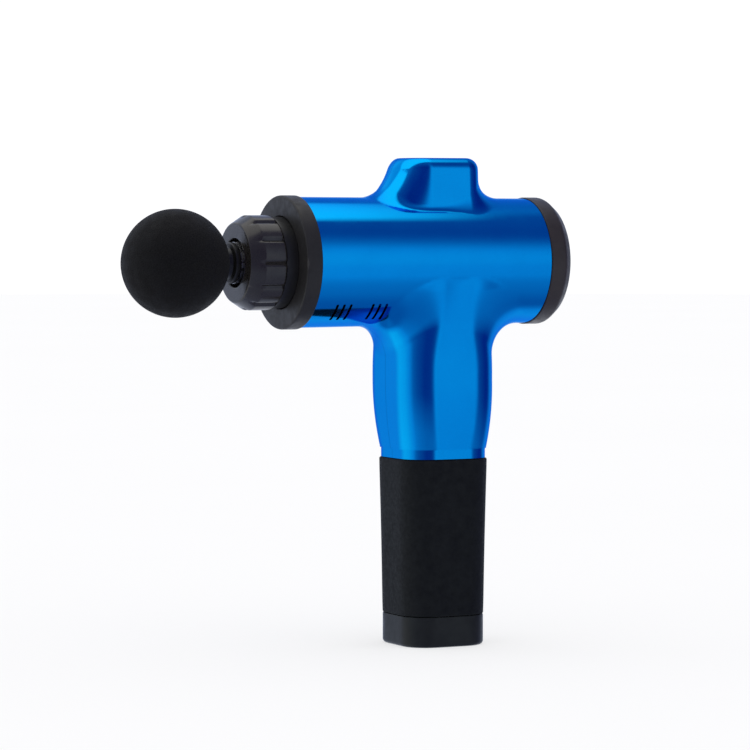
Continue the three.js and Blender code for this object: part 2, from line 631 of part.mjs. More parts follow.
place(
  upper,
  "display_module",
  "black_plastic",
  box(onBoard, floorRear - 0.6, -DISPLAY.halfY, DISPLAY.halfY, DISPLAY.bottom, DISPLAY.top),
);
["plus", "minus"].forEach((name, i) => {
  const y = buttonSpots[i];
  const { switchHalf } = BUTTON;
  place(
    upper,
    `${name}_switch`,
    "black_plastic",
    box(
      onBoard,
      BUTTON.lipFront - 1,
      y - switchHalf,
      y + switchHalf,
      BUTTON.z - switchHalf,
      BUTTON.z + switchHalf,
    ),
  );
  const profile = [
    [0, BUTTON.lipFront],
    [BUTTON.lip, BUTTON.lipFront],
    [BUTTON.lip, BUTTON.lipRear],
    [BUTTON.radius, BUTTON.lipRear],
    [BUTTON.radius, BUTTON.rear - 0.5],
    [BUTTON.radius - BUTTON.edge, BUTTON.rear],
    [0, BUTTON.rear],
  ];
  place(upper, `${name}_button`, "black_plastic", turnedX(profile, 14).translate(0, y, BUTTON.z));
});

// ---- control board and leads ----
place(
  upper,
  "control_board",
  "circuit_board",
  box(BOARD.x, BOARD.x + BOARD.thickness, -BOARD.halfWidth, BOARD.halfWidth, BOARD.bottom + 1, BOARD.top),
);
const can = ringX(0, CAPACITOR.radius, BOARD.x - CAPACITOR.length, BOARD.x - GAP, 12);
place(upper, "capacitor", "aluminium", can.translate(0, CAPACITOR.y, CAPACITOR.z));

function lead(points) {
  const path = new THREE.CatmullRomCurve3(points.map((p) => new THREE.Vector3(...p)));
  const round = new THREE.Shape().absarc(0, 0, LEAD_RADIUS, 0, 2 * Math.PI);
  return new THREE.ExtrudeGeometry(round, { steps: 10, curveSegments: 3, bevelEnabled: false, extrudePath: path });
}
const MOTOR_ROUTE = [[15, -8, -30], [21, -8, -24], [24.5, -8, -4], [24.5, -8, 13], [22, -8, 20.5]];
const BATTERY_ROUTE = [[3, 9, -92], [5, 9, -84], [11, 9, -74], [14.8, 9, -64], [15.2, 9, -52]];
place(upper, "motor_lead", "wire", lead(MOTOR_ROUTE));
place(upper, "battery_lead", "wire", lead(BATTERY_ROUTE));

// ---- battery ----
const caseOuter = solid(squareBar(CASE.half, CASE.corner, CASE.bottom, CASE.top));
const caseInner = solid(squareBar(CASE.half - CASE.wall, CASE.corner - CASE.wall, CASE.floor, CASE.top + CUT));
const baseScrewBores = [-1, 1].map((side) =>
  solid(ringZ(0, BASE_SCREW.shank + GAP, -CUT, CASE.floor + CUT, 8).translate(0, side * BASE_SCREW.y, 0)),
);
const wireHole = solid(ringZ(0, WIRE_HOLE, CASE.bottom - CUT, CASE.floor + CUT, 16));
place(gun, "battery_case", "black_plastic", without(caseOuter, [caseInner, wireHole, ...baseScrewBores]));
[[-1, -1], [1, -1], [-1, 1], [1, 1]].forEach(([sx, sy], i) => {
  const profile = [[0, CELL.bottom], [CELL.radius, CELL.bottom], [CELL.radius, CELL.top]];
  profile.push([CELL.tip, CELL.top], [CELL.tip, CELL.top + CELL.tipHeight], [0, CELL.top + CELL.tipHeight]);
  const cell = turnedZ(profile, 18).translate(sx * CELL.offset, sy * CELL.offset, 0);
  place(gun, `battery_cell_${i + 1}`, "cell_wrap", cell);
});
const retainerHalf = CASE.half - CASE.wall - GAP;
const retainerBottom = CELL.top + CELL.tipHeight + GAP;
const retainerTop = retainerBottom + RETAINER.thickness;
const slab = (half, from, to) => squareBar(half, half - RETAINER.flat, from, to);
place(gun, "cell_retainer", "black_plastic", slab(retainerHalf, retainerBottom, retainerTop));
const batteryBoard = slab(retainerHalf - 1, retainerTop + GAP, retainerTop + RETAINER.thickness);
place(gun, "battery_board", "circuit_board", batteryBoard);

// ---- grip sleeve and base ----
const gripSection = (t) => {
  const scale = 1 - (1 - GRIP.endHalf / GRIP.half) * (1 - t);
  return { z: GRIP.bottom + t * (GRIP.top - GRIP.bottom), scaleX: scale, scaleY: scale, shiftX: 0 };
};
const gripForm = { steps: 2, segments: 3, section: gripSection };
const gripOuter = solid(squareBar(GRIP.half, GRIP.corner, GRIP.bottom, GRIP.top, gripForm));
const gripBore = solid(squareBar(CASE.half + GAP, CASE.corner + GAP, 0, GRIP.top + CUT));
place(gun, "grip_sleeve", "grip_rubber", gripOuter.subtract(gripBore));

// The base's lower edge is rounded over in steps.
function baseSolid() {
  const rounds = 3;
  const steps = rounds + 1;
  const section = (t) => {
    const k = Math.round(t * steps);
    const turn = (Math.min(k, rounds) / rounds) * (Math.PI / 2);
    const z = k < steps ? BASE.round * (1 - Math.cos(turn)) : BASE.height;
    const scale = (BASE.half - BASE.round * (1 - Math.sin(turn))) / BASE.half;
    return { z, scaleX: scale, scaleY: scale, shiftX: 0 };
  };
  const outer = solid(squareBar(BASE.half, BASE.corner, 0, BASE.height, { steps, segments: 3, section }));
  const [innerHalf, innerCorner] = [BASE.half - BASE.wall, BASE.corner - BASE.wall];
  return outer.subtract(solid(squareBar(innerHalf, innerCorner, BASE.floor, BASE.height + CUT)));
}
const housingX = ROCKER.halfLength + SWITCH.play;
const housingY = ROCKER.halfWidth + GAP;
const [outerX, outerY] = [housingX + SWITCH.wall, housingY + SWITCH.wall];
// A block round the rocker's place, `extra` larger than the switch housing on each side.
const rockerBlock = (x, y, extra, from, to) =>
  solid(box(ROCKER.x - x - extra, ROCKER.x + x + extra, -y - extra, y + extra, from, to));
const rockerHole = rockerBlock(outerX, outerY, GAP, -CUT, BASE.floor + CUT);
const jackHole = solid(ringZ(0, JACK.radius + GAP, -CUT, BASE.floor + CUT, 24).translate(JACK.x, 0, 0));
const atBaseScrews = (radius, from, to) =>
  [-1, 1].map((side) => solid(ringZ(0, radius, from, to, 12).translate(0, side * BASE_SCREW.y, 0)));
const screwColumns = atBaseScrews(BASE_SCREW.column, BASE.floor - 1, BASE.height);
const screwSeats = atBaseScrews(BASE_SCREW.head + GAP, -CUT, BASE_SCREW.seat);
const baseBody = united([baseSolid(), ...screwColumns]);
const baseHoles = [rockerHole, jackHole, ...screwSeats, ...baseScrewBores];
place(gun, "base_cap", "black_plastic", without(baseBody, baseHoles));
[-1, 1].forEach((side, i) => {
  const { head, bottom, seat, shank } = BASE_SCREW;
  const under = seat - GAP / 2;
  const end = CELL.bottom - GAP;
  const profile = [[0, bottom], [head, bottom], [head, under], [shank, under], [shank, end], [0, end]];
  place(gun, `base_screw_${i + 1}`, "steel", turnedZ(profile, 8).translate(0, side * BASE_SCREW.y, 0));
});

// ---- power rocker and charging jack ----
const pivotBore = solid(rodY(TRUNNION.radius + RUNNING, -REACH, REACH, ROCKER.x, ROCKER.pivotZ, 12));
const switchBody = rockerBlock(outerX, outerY, 0, SWITCH.bottom, SWITCH.top);
const switchWell = rockerBlock(housingX, housingY, 0, -CUT, SWITCH.ceiling);
place(gun, "switch_housing", "black_plastic", without(switchBody, [switchWell, pivotBore]));

const paddleSide = new THREE.Shape();
paddleSide.moveTo(-ROCKER.halfLength, ROCKER.face);
paddleSide.lineTo(0, ROCKER.face + ROCKER.crest);
paddleSide.lineTo(ROCKER.halfLength, ROCKER.face);
paddleSide.lineTo(ROCKER.halfLength, ROCKER.pivotZ);
paddleSide.lineTo(ROCKER.back, ROCKER.pivotZ + ROCKER.back);
paddleSide.lineTo(-ROCKER.back, ROCKER.pivotZ + ROCKER.back);
paddleSide.lineTo(-ROCKER.halfLength, ROCKER.pivotZ);
paddleSide.closePath();
const paddle = new THREE.ExtrudeGeometry(paddleSide, { depth: 2 * ROCKER.halfWidth, bevelEnabled: false })
  .rotateX(Math.PI / 2)
  .translate(0, ROCKER.halfWidth, -ROCKER.pivotZ)
  .rotateY(THREE.MathUtils.degToRad(-ROCKER.tilt))
  .translate(ROCKER.x, 0, ROCKER.pivotZ);
const trunnionEnd = housingY + TRUNNION.reach;
const trunnions = rodY(TRUNNION.radius, -trunnionEnd, trunnionEnd, ROCKER.x, ROCKER.pivotZ, 12);
place(gun, "power_rocker", "dark_grey", solid(paddle).add(solid(trunnions)));

const jackProfile = [
  [JACK.bore, JACK.mouth],
  [JACK.radius, JACK.mouth],
  [JACK.radius, JACK.top],
  [0, JACK.top],
  [0, JACK.depth],
  [JACK.bore, JACK.depth],
];
place(gun, "charge_jack", "black_plastic", turnedZ(jackProfile, 16).translate(JACK.x, 0, 0));
const contact = ringZ(0, JACK.pin, JACK.pinBottom, JACK.depth - GAP, 8);
place(gun, "charge_pin", "bronze", contact.translate(JACK.x, 0, 0));

export default gun;
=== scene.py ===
"""Looks for a percussion massage gun.

It has a T-shaped blue shell, a ball head, a screw collar, a rear display and a battery grip.

Lengths are in millimetres, heights on the barrel are counted from its axis, and MM turns both into metres.
"""

import json
import math

import bmesh
import bpy
import numpy as np
from mathutils import Matrix, Vector


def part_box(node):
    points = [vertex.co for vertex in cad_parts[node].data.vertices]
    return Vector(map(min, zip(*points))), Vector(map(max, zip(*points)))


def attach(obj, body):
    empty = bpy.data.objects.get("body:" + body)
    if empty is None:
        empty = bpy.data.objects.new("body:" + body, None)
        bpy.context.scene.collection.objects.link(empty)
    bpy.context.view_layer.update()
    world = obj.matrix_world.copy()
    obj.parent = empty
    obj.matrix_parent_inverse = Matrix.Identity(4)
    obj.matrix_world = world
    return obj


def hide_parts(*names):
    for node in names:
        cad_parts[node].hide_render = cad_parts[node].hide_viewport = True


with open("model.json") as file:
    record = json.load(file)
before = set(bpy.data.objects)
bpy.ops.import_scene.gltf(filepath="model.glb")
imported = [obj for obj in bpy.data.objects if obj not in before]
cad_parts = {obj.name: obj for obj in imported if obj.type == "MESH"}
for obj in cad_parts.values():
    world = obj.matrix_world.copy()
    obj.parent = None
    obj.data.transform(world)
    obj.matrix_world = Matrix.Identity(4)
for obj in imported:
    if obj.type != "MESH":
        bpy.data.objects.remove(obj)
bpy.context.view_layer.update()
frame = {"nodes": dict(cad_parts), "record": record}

# ---- driving dimensions ----
MM = 0.001
AXIS_Z = 182.0  # the barrel's axis above the base's underside
WALL = 2.4
GAP = 0.3  # between pieces that meet
FAR = 90.0  # past the whole gun, for shapes that cut it
SPLIT = 0.14  # seam between the shell halves
STEP = 1.25  # spacing of the grid that the shell is meshed on

BARREL = {"front": -72.5, "rear": 47.9, "front_radius": 30.6, "rear_radius": 29.9}
HUMP = {"top": 49.0, "foot": 8.0, "half": 18.0, "corner": 8.0, "edge": 5.5, "rear": 18.6}
HUMP_DRAFT = {"slope": 0.06, "depth": 18.0}  # how the sides draw in, and how far below the top
HUMP_NOSE = {"start": -8.5, "front": -20.6, "lean": 0.15, "sweep": 0.023, "power": 2.0}
HUMP_FILLET = {"front": 5.0, "rear": 15.0, "fade": 2.0, "swell": 0.0}
COLUMN = {"top": 4.0, "bottom": -88.4, "half": 24.9, "corner": 14.5, "lean": -0.4, "lean_span": 0.4}
COLUMN_DRAW = {"top": -8.0, "depth": 2.4, "span": 0.38}  # how the column narrows towards its bottom
COLUMN_FILLET = {"front": 15.0, "rear": 19.0, "fade": 0.75, "swell": 0.3, "end": -14.0}
# how the column widens sideways into the barrel, and how much rounder its corners get
COLUMN_FLARE = {"start": -46.0, "curve": 0.0020, "corner": 4.0, "corner_start": -52.0, "corner_span": 34.0}
FILLET_CHANGE = {"start": -12.0, "span": 24.0}  # along the barrel, from the front fillets to the rear ones
NECK = {"bottom": -92.9, "half": 21.7, "corner": 12.8}
VENT = {"width": 1.3, "length": 11.6, "angle": 50.0, "pitch": 3.5, "groups": (-58.0, -39.5)}
VENT_CUT = {"below": 9.0, "depth": 16.0}
SCREW = {"post": 4.6, "recess": 3.1, "seat": 14.0}
SCREW_SPOTS = ((-48.6, 20.0), (-48.6, -20.0), (34.0, 19.0), (34.0, -19.0), (0.0, -68.0))
BUTTON = {"y": 9.0, "z": -11.0, "radius": 4.0}
GRIP = {"half": 22.5, "end_half": 21.3, "corner": 13.5, "bore": 20.0, "bore_corner": 11.0}
BASE = {"half": 21.1, "corner": 12.9, "wall": 2.4, "floor": 3.0, "round": 1.8}
BASE_SCREW = {"seat": 2.6, "bore": 1.5, "depth": 1.9}
JACK = {"x": 10.0, "hole": 4.7}
ROCKER = {"x": -10.0, "pivot": 5.0, "half_x": 6.0, "half_y": 4.4, "face": 1.6, "crown": 0.5, "back": 2.2}
ROCKER_TILT = 7.0
NOSE = {"tip": 17.0, "step": -86.3, "body": 21.4, "bore": 13.3, "flange_front": -69.0, "tube_end": -58.0}
NOSE_WALL = {"body": 2.2, "tube": 1.9}
REAR = {"plug_wall": 2.2, "face": 24.2, "floor": 55.8}
COLLAR_LOBES = 12

CAMERA = {"azimuth": -27.22, "elevation": 0.869, "distance": 1763.5, "focal_px": 3707.0, "frame_px": 750.0}
# where the barrel's middle falls, right and up from the picture's middle, as slopes
TARGET_OFFSET = (0.01563, 0.03066)


def box_mm(node):
    """A CAD node's lowest and highest corners, in millimetres, with heights from the base."""
    low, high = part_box(node)
    return low / MM, high / MM


# ---- mesh building ----
def make(name, vertices, faces, smooth_angle=32):
    """A mesh object from millimetre vertices, facing outwards, smooth up to an angle."""
    mesh = bpy.data.meshes.new(name)
    mesh.from_pydata((np.asarray(vertices, float) * MM).tolist(), [], faces)
    work = bmesh.new()
    work.from_mesh(mesh)
    bmesh.ops.recalc_face_normals(work, faces=work.faces)
    work.to_mesh(mesh)
    work.free()
    obj = bpy.data.objects.new(name, mesh)
    bpy.context.scene.collection.objects.link(obj)
    shade(obj, smooth_angle)
    return obj


def shade(obj, angle):
    mesh = obj.data
    mesh.polygons.foreach_set("use_smooth", [True] * len(mesh.polygons))
    mesh.set_sharp_from_angle(angle=math.radians(angle))


def rounded(corners, steps=5):
    """A profile of (radius, place, fillet) corners with each fillet drawn as a short curve."""
    points = []
    for i, (r, a, fillet) in enumerate(corners):
        here = np.array([r, a], float)
        before, after = (np.array(corners[(i + k) % len(corners)][:2], float) - here for k in (-1, 1))
        if fillet <= 0:
            points.append(here)
            continue
        near, far = np.linalg.norm(before), np.linalg.norm(after)
        turn = math.acos(np.clip(before @ after / (near * far), -1, 1))
        reach = min(fillet / math.tan(turn / 2), 0.49 * near, 0.49 * far)
        start, end = here + before / near * reach, here + after / far * reach
        for k in range(steps + 1):
            t = k / steps
            points.append(start * (1 - t) ** 2 + here * 2 * t * (1 - t) + end * t**2)
    return points


def lathe(name, profile, axis="X", centre=(0, 0, 0), segments=96, modulate=None, smooth_angle=32):
    """A closed profile of (radius, place) points turned about an axis.

    Points on the axis become single vertices.
    """
    vertices, rings = [], []
    for r, a in profile:
        if r < 1e-6:
            rings.append([len(vertices)])
            vertices.append((0, 0, a))
            continue
        ring = []
        for k in range(segments):
            angle = 2 * math.pi * k / segments
            reach = r if modulate is None else modulate(r, a, angle)
            ring.append(len(vertices))
            vertices.append((reach * math.cos(angle), reach * math.sin(angle), a))
        rings.append(ring)
    faces = []
    for a, b in zip(rings, rings[1:] + rings[:1]):
        for k in range(segments):
            n = (k + 1) % segments
            corners = [a[k % len(a)], a[n % len(a)], b[n % len(b)], b[k % len(b)]]
            unique = list(dict.fromkeys(corners))
            if len(unique) > 2:
                faces.append(unique)
    points = np.array(vertices, float)
    if axis == "X":
        points = points[:, [2, 0, 1]]
    elif axis == "Y":
        points = points[:, [1, 2, 0]]
    return make(name, points + np.array(centre, float), faces, smooth_angle)


def square_ring(half, corner, segments=10, side=6):
    """Points around a square with round corners, the same count for every size."""
    inner = half - corner
    points = []
    for quarter in range(4):
        sx, sy = ((1, 1), (-1, 1), (-1, -1), (1, -1))[quarter]
        for k in range(segments + 1):
            angle = math.pi / 2 * (quarter + k / segments)
            points.append((sx * inner + corner * math.cos(angle), sy * inner + corner * math.sin(angle)))
        end = np.array(points[-1])
        nx, ny = ((-1, 1), (-1, -1), (1, -1), (1, 1))[quarter]
        angle = math.pi / 2 * (quarter + 1)
        start = np.array((nx * inner + corner * math.cos(angle), ny * inner + corner * math.sin(angle)))
        points += [tuple(end + (start - end) * k / side) for k in range(1, side)]
    return points


def loft(name, sections, closed=False, smooth_angle=32):
    """Rounded squares (z, half, corner) joined up.

    Open ends are capped, and closed joins the last to the first.
    """
    rings = [[(x, y, z) for x, y in square_ring(half, corner)] for z, half, corner in sections]
    count = len(rings[0])
    vertices = [p for ring in rings for p in ring]
    faces = []
    pairs = list(zip(range(len(rings)), range(1, len(rings))))
    if closed:
        pairs.append((len(rings) - 1, 0))
    else:
        faces += [list(range(count)), list(range((len(rings) - 1) * count, len(rings) * count))]
    for a, b in pairs:
        for k in range(count):
            n = (k + 1) % count
            faces.append([a * count + k, a * count + n, b * count + n, b * count + k])
    return make(name, vertices, faces, smooth_angle)


def prism(name, outline, depth, matrix=Matrix.Identity(4), smooth_angle=32):
    """A flat outline of (x, y) points carried up its own Z and then placed."""
    count = len(outline)
    vertices = [matrix @ Vector((x, y, z)) for z in (0, depth) for x, y in outline]
    faces = [list(range(count)), list(range(count, 2 * count))]
    faces += [[k, (k + 1) % count, count + (k + 1) % count, count + k] for k in range(count)]
    return make(name, vertices, faces, smooth_angle)


def block(name, low, high):
    size = [h - l for l, h in zip(low, high)]
    outline = [(0, 0), (size[0], 0), (size[0], size[1]), (0, size[1])]
    return prism(name, outline, size[2], Matrix.Translation(low))


def stadium(length, width, steps=8):
    """A slot's outline with round ends, along its own X."""
    r, reach = width / 2, length / 2 - width / 2
    turn = [math.pi * (k / steps - 0.5) for k in range(steps + 1)]
    right = [(reach + r * math.cos(t), r * math.sin(t)) for t in turn]
    return right + [(-x, -y) for x, y in right]


def check_closed(mesh, name):
    """Stops the script if a mesh isn't a closed solid, because the next boolean would quietly do nothing."""
    work = bmesh.new()
    work.from_mesh(mesh)
    open_edges = sum(not edge.is_manifold for edge in work.edges)
    work.free()
    if open_edges or not len(mesh.polygons):
        raise RuntimeError(f"{name} has {open_edges} open edges and {len(mesh.polygons)} faces")


def combine(target, tools, operation):
    """Boolean of target with each tool in turn. The tools are used up."""
    for tool in tools:
        modifier = target.modifiers.new("combine", "BOOLEAN")
        modifier.operation = operation
        modifier.solver = "MANIFOLD"
        modifier.object = tool
    graph = bpy.context.evaluated_depsgraph_get()
    result = bpy.data.meshes.new_from_object(target.evaluated_get(graph))
    target.modifiers.clear()
    check_closed(result, target.name)
    target.data = result
    for tool in tools:
        bpy.data.objects.remove(tool)
    return target


# ---- the shell's surface, as signed distances ----
def smooth_union(a, b, radius):
    both = np.hypot(np.maximum(radius - a, 0), np.maximum(radius - b, 0))
    return np.maximum(radius, np.minimum(a, b)) - both


def rounded_meet(a, b, radius):
    both = np.hypot(np.maximum(radius + a, 0), np.maximum(radius + b, 0))
    return np.minimum(-radius, np.maximum(a, b)) + both


def square_distance(x, y, half, corner, widen=0):
    """Distance to a square with round corners, widened along Y."""
    qx, qy = np.abs(x) - (half - corner), np.abs(y) - (half + widen - corner)
    return np.hypot(np.maximum(qx, 0), np.maximum(qy, 0)) + np.minimum(np.maximum(qx, qy), 0) - corner


def ease(t):
    t = np.clip(t, 0, 1)
    return t * t * (3 - 2 * t)


def barrel_field(x, y, z):
    along = (x - BARREL["front"]) / (BARREL["rear"] - BARREL["front"])
    radius = BARREL["front_radius"] + along * (BARREL["rear_radius"] - BARREL["front_radius"])
    return np.hypot(y, z) - radius


def column_field(x, y, z):
    up = (z - COLUMN["bottom"]) / (COLUMN_DRAW["top"] - COLUMN["bottom"])
    low = np.clip(1 - np.clip(up, 0, 1) / COLUMN_DRAW["span"], 0, 1)
    half = COLUMN["half"] - COLUMN_DRAW["depth"] * low**2
    lean = COLUMN["lean"] * np.clip(up / COLUMN["lean_span"], 0, 1)
    flare = COLUMN_FLARE
    widen = flare["curve"] * np.clip(z - flare["start"], 0, -flare["start"]) ** 2
    corner = COLUMN["corner"] + flare["corner"] * ease((z - flare["corner_start"]) / flare["corner_span"])
    return np.maximum(square_distance(x - lean, y, half, corner, widen), z - COLUMN["top"])


def hump_field(x, y, z):
    """A box with drafted sides, whose front is a round nose that sweeps forward on its way down."""
    drop = np.maximum(HUMP["top"] - z, 0)
    nose = HUMP_NOSE
    reach = nose["start"] - nose["front"] + nose["lean"] * drop + nose["sweep"] * drop**2
    half = HUMP["half"] - HUMP_DRAFT["slope"] * np.maximum(HUMP["top"] - HUMP_DRAFT["depth"] - drop, 0)
    power = nose["power"]
    ahead = np.maximum(nose["start"] - x, 0) / reach
    sides = half * ((ahead**power + (np.abs(y) / half) ** power) ** (1 / power) - 1)
    upright = rounded_meet(sides, x - HUMP["rear"], HUMP["corner"])
    return np.maximum(rounded_meet(upright, z - HUMP["top"], HUMP["edge"]), HUMP["foot"] - z)


def shell_field(p):
    """Signed distance to the shell's outside, with fillets that fade where surfaces run alongside."""
    x, y, z = p[..., 0], p[..., 1], p[..., 2]
    alongside = y**2 / np.maximum(np.hypot(y, z) * np.hypot(x, y), 1e-6)
    crossing = np.clip(1 - alongside, 0, 1)
    rearward = ease((x - FILLET_CHANGE["start"]) / FILLET_CHANGE["span"])
    least_share, least = 0.02, 0.05

    def fillet(form):
        size = form["front"] + (form["rear"] - form["front"]) * rearward
        return size * (crossing ** form["fade"] * (1 + form["swell"] * alongside) + least_share)

    lower = 1 - ease((z - COLUMN_FILLET["end"]) / -COLUMN_FILLET["end"])
    joined = lower * fillet(COLUMN_FILLET) + least
    below = smooth_union(barrel_field(x, y, z), column_field(x, y, z), joined)
    return smooth_union(below, hump_field(x, y, z), fillet(HUMP_FILLET))


def gradient(field, p, d=0.05):
    """The field's outward direction at each point, with its length."""
    parts = [field(p + d * np.eye(3)[k]) - field(p - d * np.eye(3)[k]) for k in range(3)]
    return np.stack(parts, -1) / (2 * d)


def mesh_field(name, field, low, high, step):
    """Closed surface where a field is zero: a vertex in each cell it crosses, moved onto the surface."""
    axes = [np.arange(a, b + step, step) for a, b in zip(low, high)]
    inside = field(np.stack(np.meshgrid(*axes, indexing="ij"), -1)) < 0
    cells = [n - 1 for n in inside.shape]
    count = np.zeros(cells, int)
    for i in (0, 1):
        for j in (0, 1):
            for k in (0, 1):
                count += inside[i : i + cells[0], j : j + cells[1], k : k + cells[2]]
    mixed = (count > 0) & (count < 8)
    index = np.full(cells, -1)
    index[mixed] = np.arange(mixed.sum())
    points = np.array(low, float) + (np.argwhere(mixed) + 0.5) * step
    for _ in range(5):
        slope = gradient(field, points)
        length = np.maximum((slope**2).sum(-1, keepdims=True), 0.2)
        points = points - np.clip(field(points)[:, None] * slope / length, -step, step)
    faces = []
    around = ((-1, -1), (0, -1), (0, 0), (-1, 0))
    for axis in range(3):
        u, v = (axis + 1) % 3, (axis + 2) % 3
        first = np.take(inside, range(inside.shape[axis] - 1), axis)
        second = np.take(inside, range(1, inside.shape[axis]), axis)
        edges = np.argwhere(first != second)
        edges = edges[(edges[:, u] > 0) & (edges[:, v] > 0)]
        for sign in (True, False):
            chosen = edges[first[tuple(edges.T)] == sign]
            quad = []
            for du, dv in around if sign else around[:1] + around[:0:-1]:
                cell = chosen.copy()
                cell[:, u] += du
                cell[:, v] += dv
                quad.append(index[tuple(cell.T)])
            faces.append(np.stack(quad, -1))
    points[:, 2] += AXIS_Z
    mesh = bpy.data.meshes.new(name)
    mesh.from_pydata((points * MM).tolist(), [], np.concatenate(faces).tolist())
    obj = bpy.data.objects.new(name, mesh)
    bpy.context.scene.collection.objects.link(obj)
    return obj


def closed_off(field, p, past):
    """A field ended by planes that lie a little past the barrel's ends and the column's bottom."""
    ends = np.maximum(BARREL["front"] - past - p[..., 0], p[..., 0] - BARREL["rear"] - past)
    return np.maximum(field, np.maximum(ends, COLUMN["bottom"] - past - p[..., 2]))


def outer_field(p):
    return closed_off(shell_field(p), p, 4)


def inner_field(p):
    return closed_off(shell_field(p) + WALL, p, 8)


def neck_field(p):
    return square_distance(p[..., 0], p[..., 1], NECK["half"], NECK["corner"])


def smooth_by_fields(obj):
    """Normals taken from the fields on the surfaces that they made, and from the faces elsewhere."""
    shade(obj, 30)
    mesh = obj.data
    points = np.zeros(len(mesh.vertices) * 3)
    mesh.vertices.foreach_get("co", points)
    points = points.reshape(-1, 3) / MM - (0, 0, AXIS_Z)
    corner = np.zeros(len(mesh.loops), int)
    mesh.loops.foreach_get("vertex_index", corner)
    sizes = np.array([p.loop_total for p in mesh.polygons])
    flat = np.zeros(len(mesh.polygons) * 3)
    mesh.polygons.foreach_get("normal", flat)
    flat = np.repeat(flat.reshape(-1, 3), sizes, 0)
    normals = np.zeros(len(mesh.loops) * 3, np.float32)
    mesh.corner_normals.foreach_get("vector", normals)
    normals = normals.reshape(-1, 3).astype(float)
    surfaces = ((shell_field, 0, 1), (shell_field, WALL, -1), (neck_field, 0, 1))
    for field, offset, side in surfaces:
        near = np.abs(field(points) + offset) < 0.03
        slope = side * gradient(field, points)
        slope /= np.maximum(np.linalg.norm(slope, axis=1, keepdims=True), 1e-9)
        use = near[corner] & ((slope[corner] * flat).sum(1) > 0.9)
        normals[use] = slope[corner][use]
    mesh.normals_split_custom_set(normals.tolist())
    return obj


def cylinder(name, radius, start, end, axis, centre, segments=40):
    return lathe(name, [(0, start), (radius, start), (radius, end), (0, end)], axis, centre, segments)


def vent_cutter(x, side):
    """One cooling slot, cut straight into the barrel's lower side."""
    angle = math.radians(VENT["angle"])
    outward = Vector((0, side * math.cos(angle), -math.sin(angle)))
    around = Vector((0, -side * math.sin(angle), -math.cos(angle)))
    across = outward.cross(around)
    turn = Matrix((around, across, outward)).transposed().to_4x4()
    start = Vector((x, 0, AXIS_Z)) + outward * (BARREL["front_radius"] - VENT_CUT["below"])
    place = Matrix.Translation(start)
    return prism("vent_cutter", stadium(VENT["length"], VENT["width"]), VENT_CUT["depth"], place @ turn)


def shell_halves():
    """Both halves of the T-shaped shell, with vents, screw posts and recesses."""
    outer = mesh_field("shell", outer_field, (-80, -36, -97), (56, 36, 53), STEP)
    keep_low = (BARREL["front"], -FAR, AXIS_Z + COLUMN["bottom"])
    keep_high = (BARREL["rear"], FAR, AXIS_Z + FAR)
    combine(outer, [block("keep", keep_low, keep_high)], "INTERSECT")
    neck_ends = (AXIS_Z + NECK["bottom"], AXIS_Z + COLUMN["bottom"] + 3)
    neck = loft("neck", [(z, NECK["half"], NECK["corner"]) for z in neck_ends])
    combine(outer, [neck], "UNION")
    solid = outer.data.copy()
    inner = mesh_field("inner", inner_field, (-86, -36, -102), (62, 36, 52), 2 * STEP)
    combine(outer, [inner], "DIFFERENCE")

    spots = [(x, 0, AXIS_Z + z) for x, z in SCREW_SPOTS]
    posts = [cylinder("post", SCREW["post"], -FAR, FAR, "Y", spot) for spot in spots]
    filled = bpy.data.objects.new("filled", solid)
    bpy.context.scene.collection.objects.link(filled)
    for other in posts[1:]:
        combine(posts[0], [other], "UNION")
    combine(posts[0], [filled], "INTERSECT")
    combine(outer, [posts[0]], "UNION")
    cuts = [cylinder("cut", SCREW["recess"], SCREW["seat"], FAR, "Y", spot) for spot in spots]
    for x in VENT["groups"]:
        cuts += [vent_cutter(x + k * VENT["pitch"], side) for k in (-1, 0, 1) for side in (-1, 1)]
    combine(outer, cuts, "DIFFERENCE")

    halves = []
    for name, start, end in (("left_shell", -FAR, -SPLIT / 2), ("right_shell", SPLIT / 2, FAR)):
        half = bpy.data.objects.new(name, outer.data.copy())
        bpy.context.scene.collection.objects.link(half)
        combine(half, [block("side", (-FAR, start, 0), (FAR, end, AXIS_Z + FAR))], "INTERSECT")
        halves.append(smooth_by_fields(half))
    bpy.data.objects.remove(outer)
    return halves


# ---- nose and massage head ----
def front_ring():
    low, high = box_mm("front_ring")
    radius, rear = high.z - AXIS_Z, BARREL["front"] - GAP
    spigot = BARREL["front_radius"] - WALL - GAP
    inner = spigot - 3
    bore = NOSE["body"] + GAP
    profile = [(bore, low.x, 0.5), (radius, low.x, 1.1), (radius, rear, 0.4), (spigot, rear, 0)]
    profile += [(spigot, high.x, 0.3), (inner, high.x, 0.3), (inner, rear, 0), (bore, rear, 0.2)]
    return lathe("front_ring_trim", rounded(profile), centre=(0, 0, AXIS_Z), segments=128)


def nose_block():
    low, high = box_mm("nose_block")
    flange, tip, step, body, bore = high.z - AXIS_Z, NOSE["tip"], NOSE["step"], NOSE["body"], NOSE["bore"]
    front, end = NOSE["flange_front"], NOSE["tube_end"]
    hollow, floor, tube = body - NOSE_WALL["body"], step + NOSE_WALL["body"], bore + NOSE_WALL["tube"]
    profile = [(bore, low.x, 0.3), (tip, low.x, 0.4), (tip, step, 0.3), (body, step, 0.7)]
    profile += [(body, front, 0.2), (flange, front, 0.2), (flange, high.x, 0.2), (hollow, high.x, 0.2)]
    profile += [(hollow, floor, 0.5), (tube, floor, 0.5), (tube, end, 0.2), (bore, end, 0.2)]
    return lathe("nose_socket", rounded(profile), centre=(0, 0, AXIS_Z), segments=112)


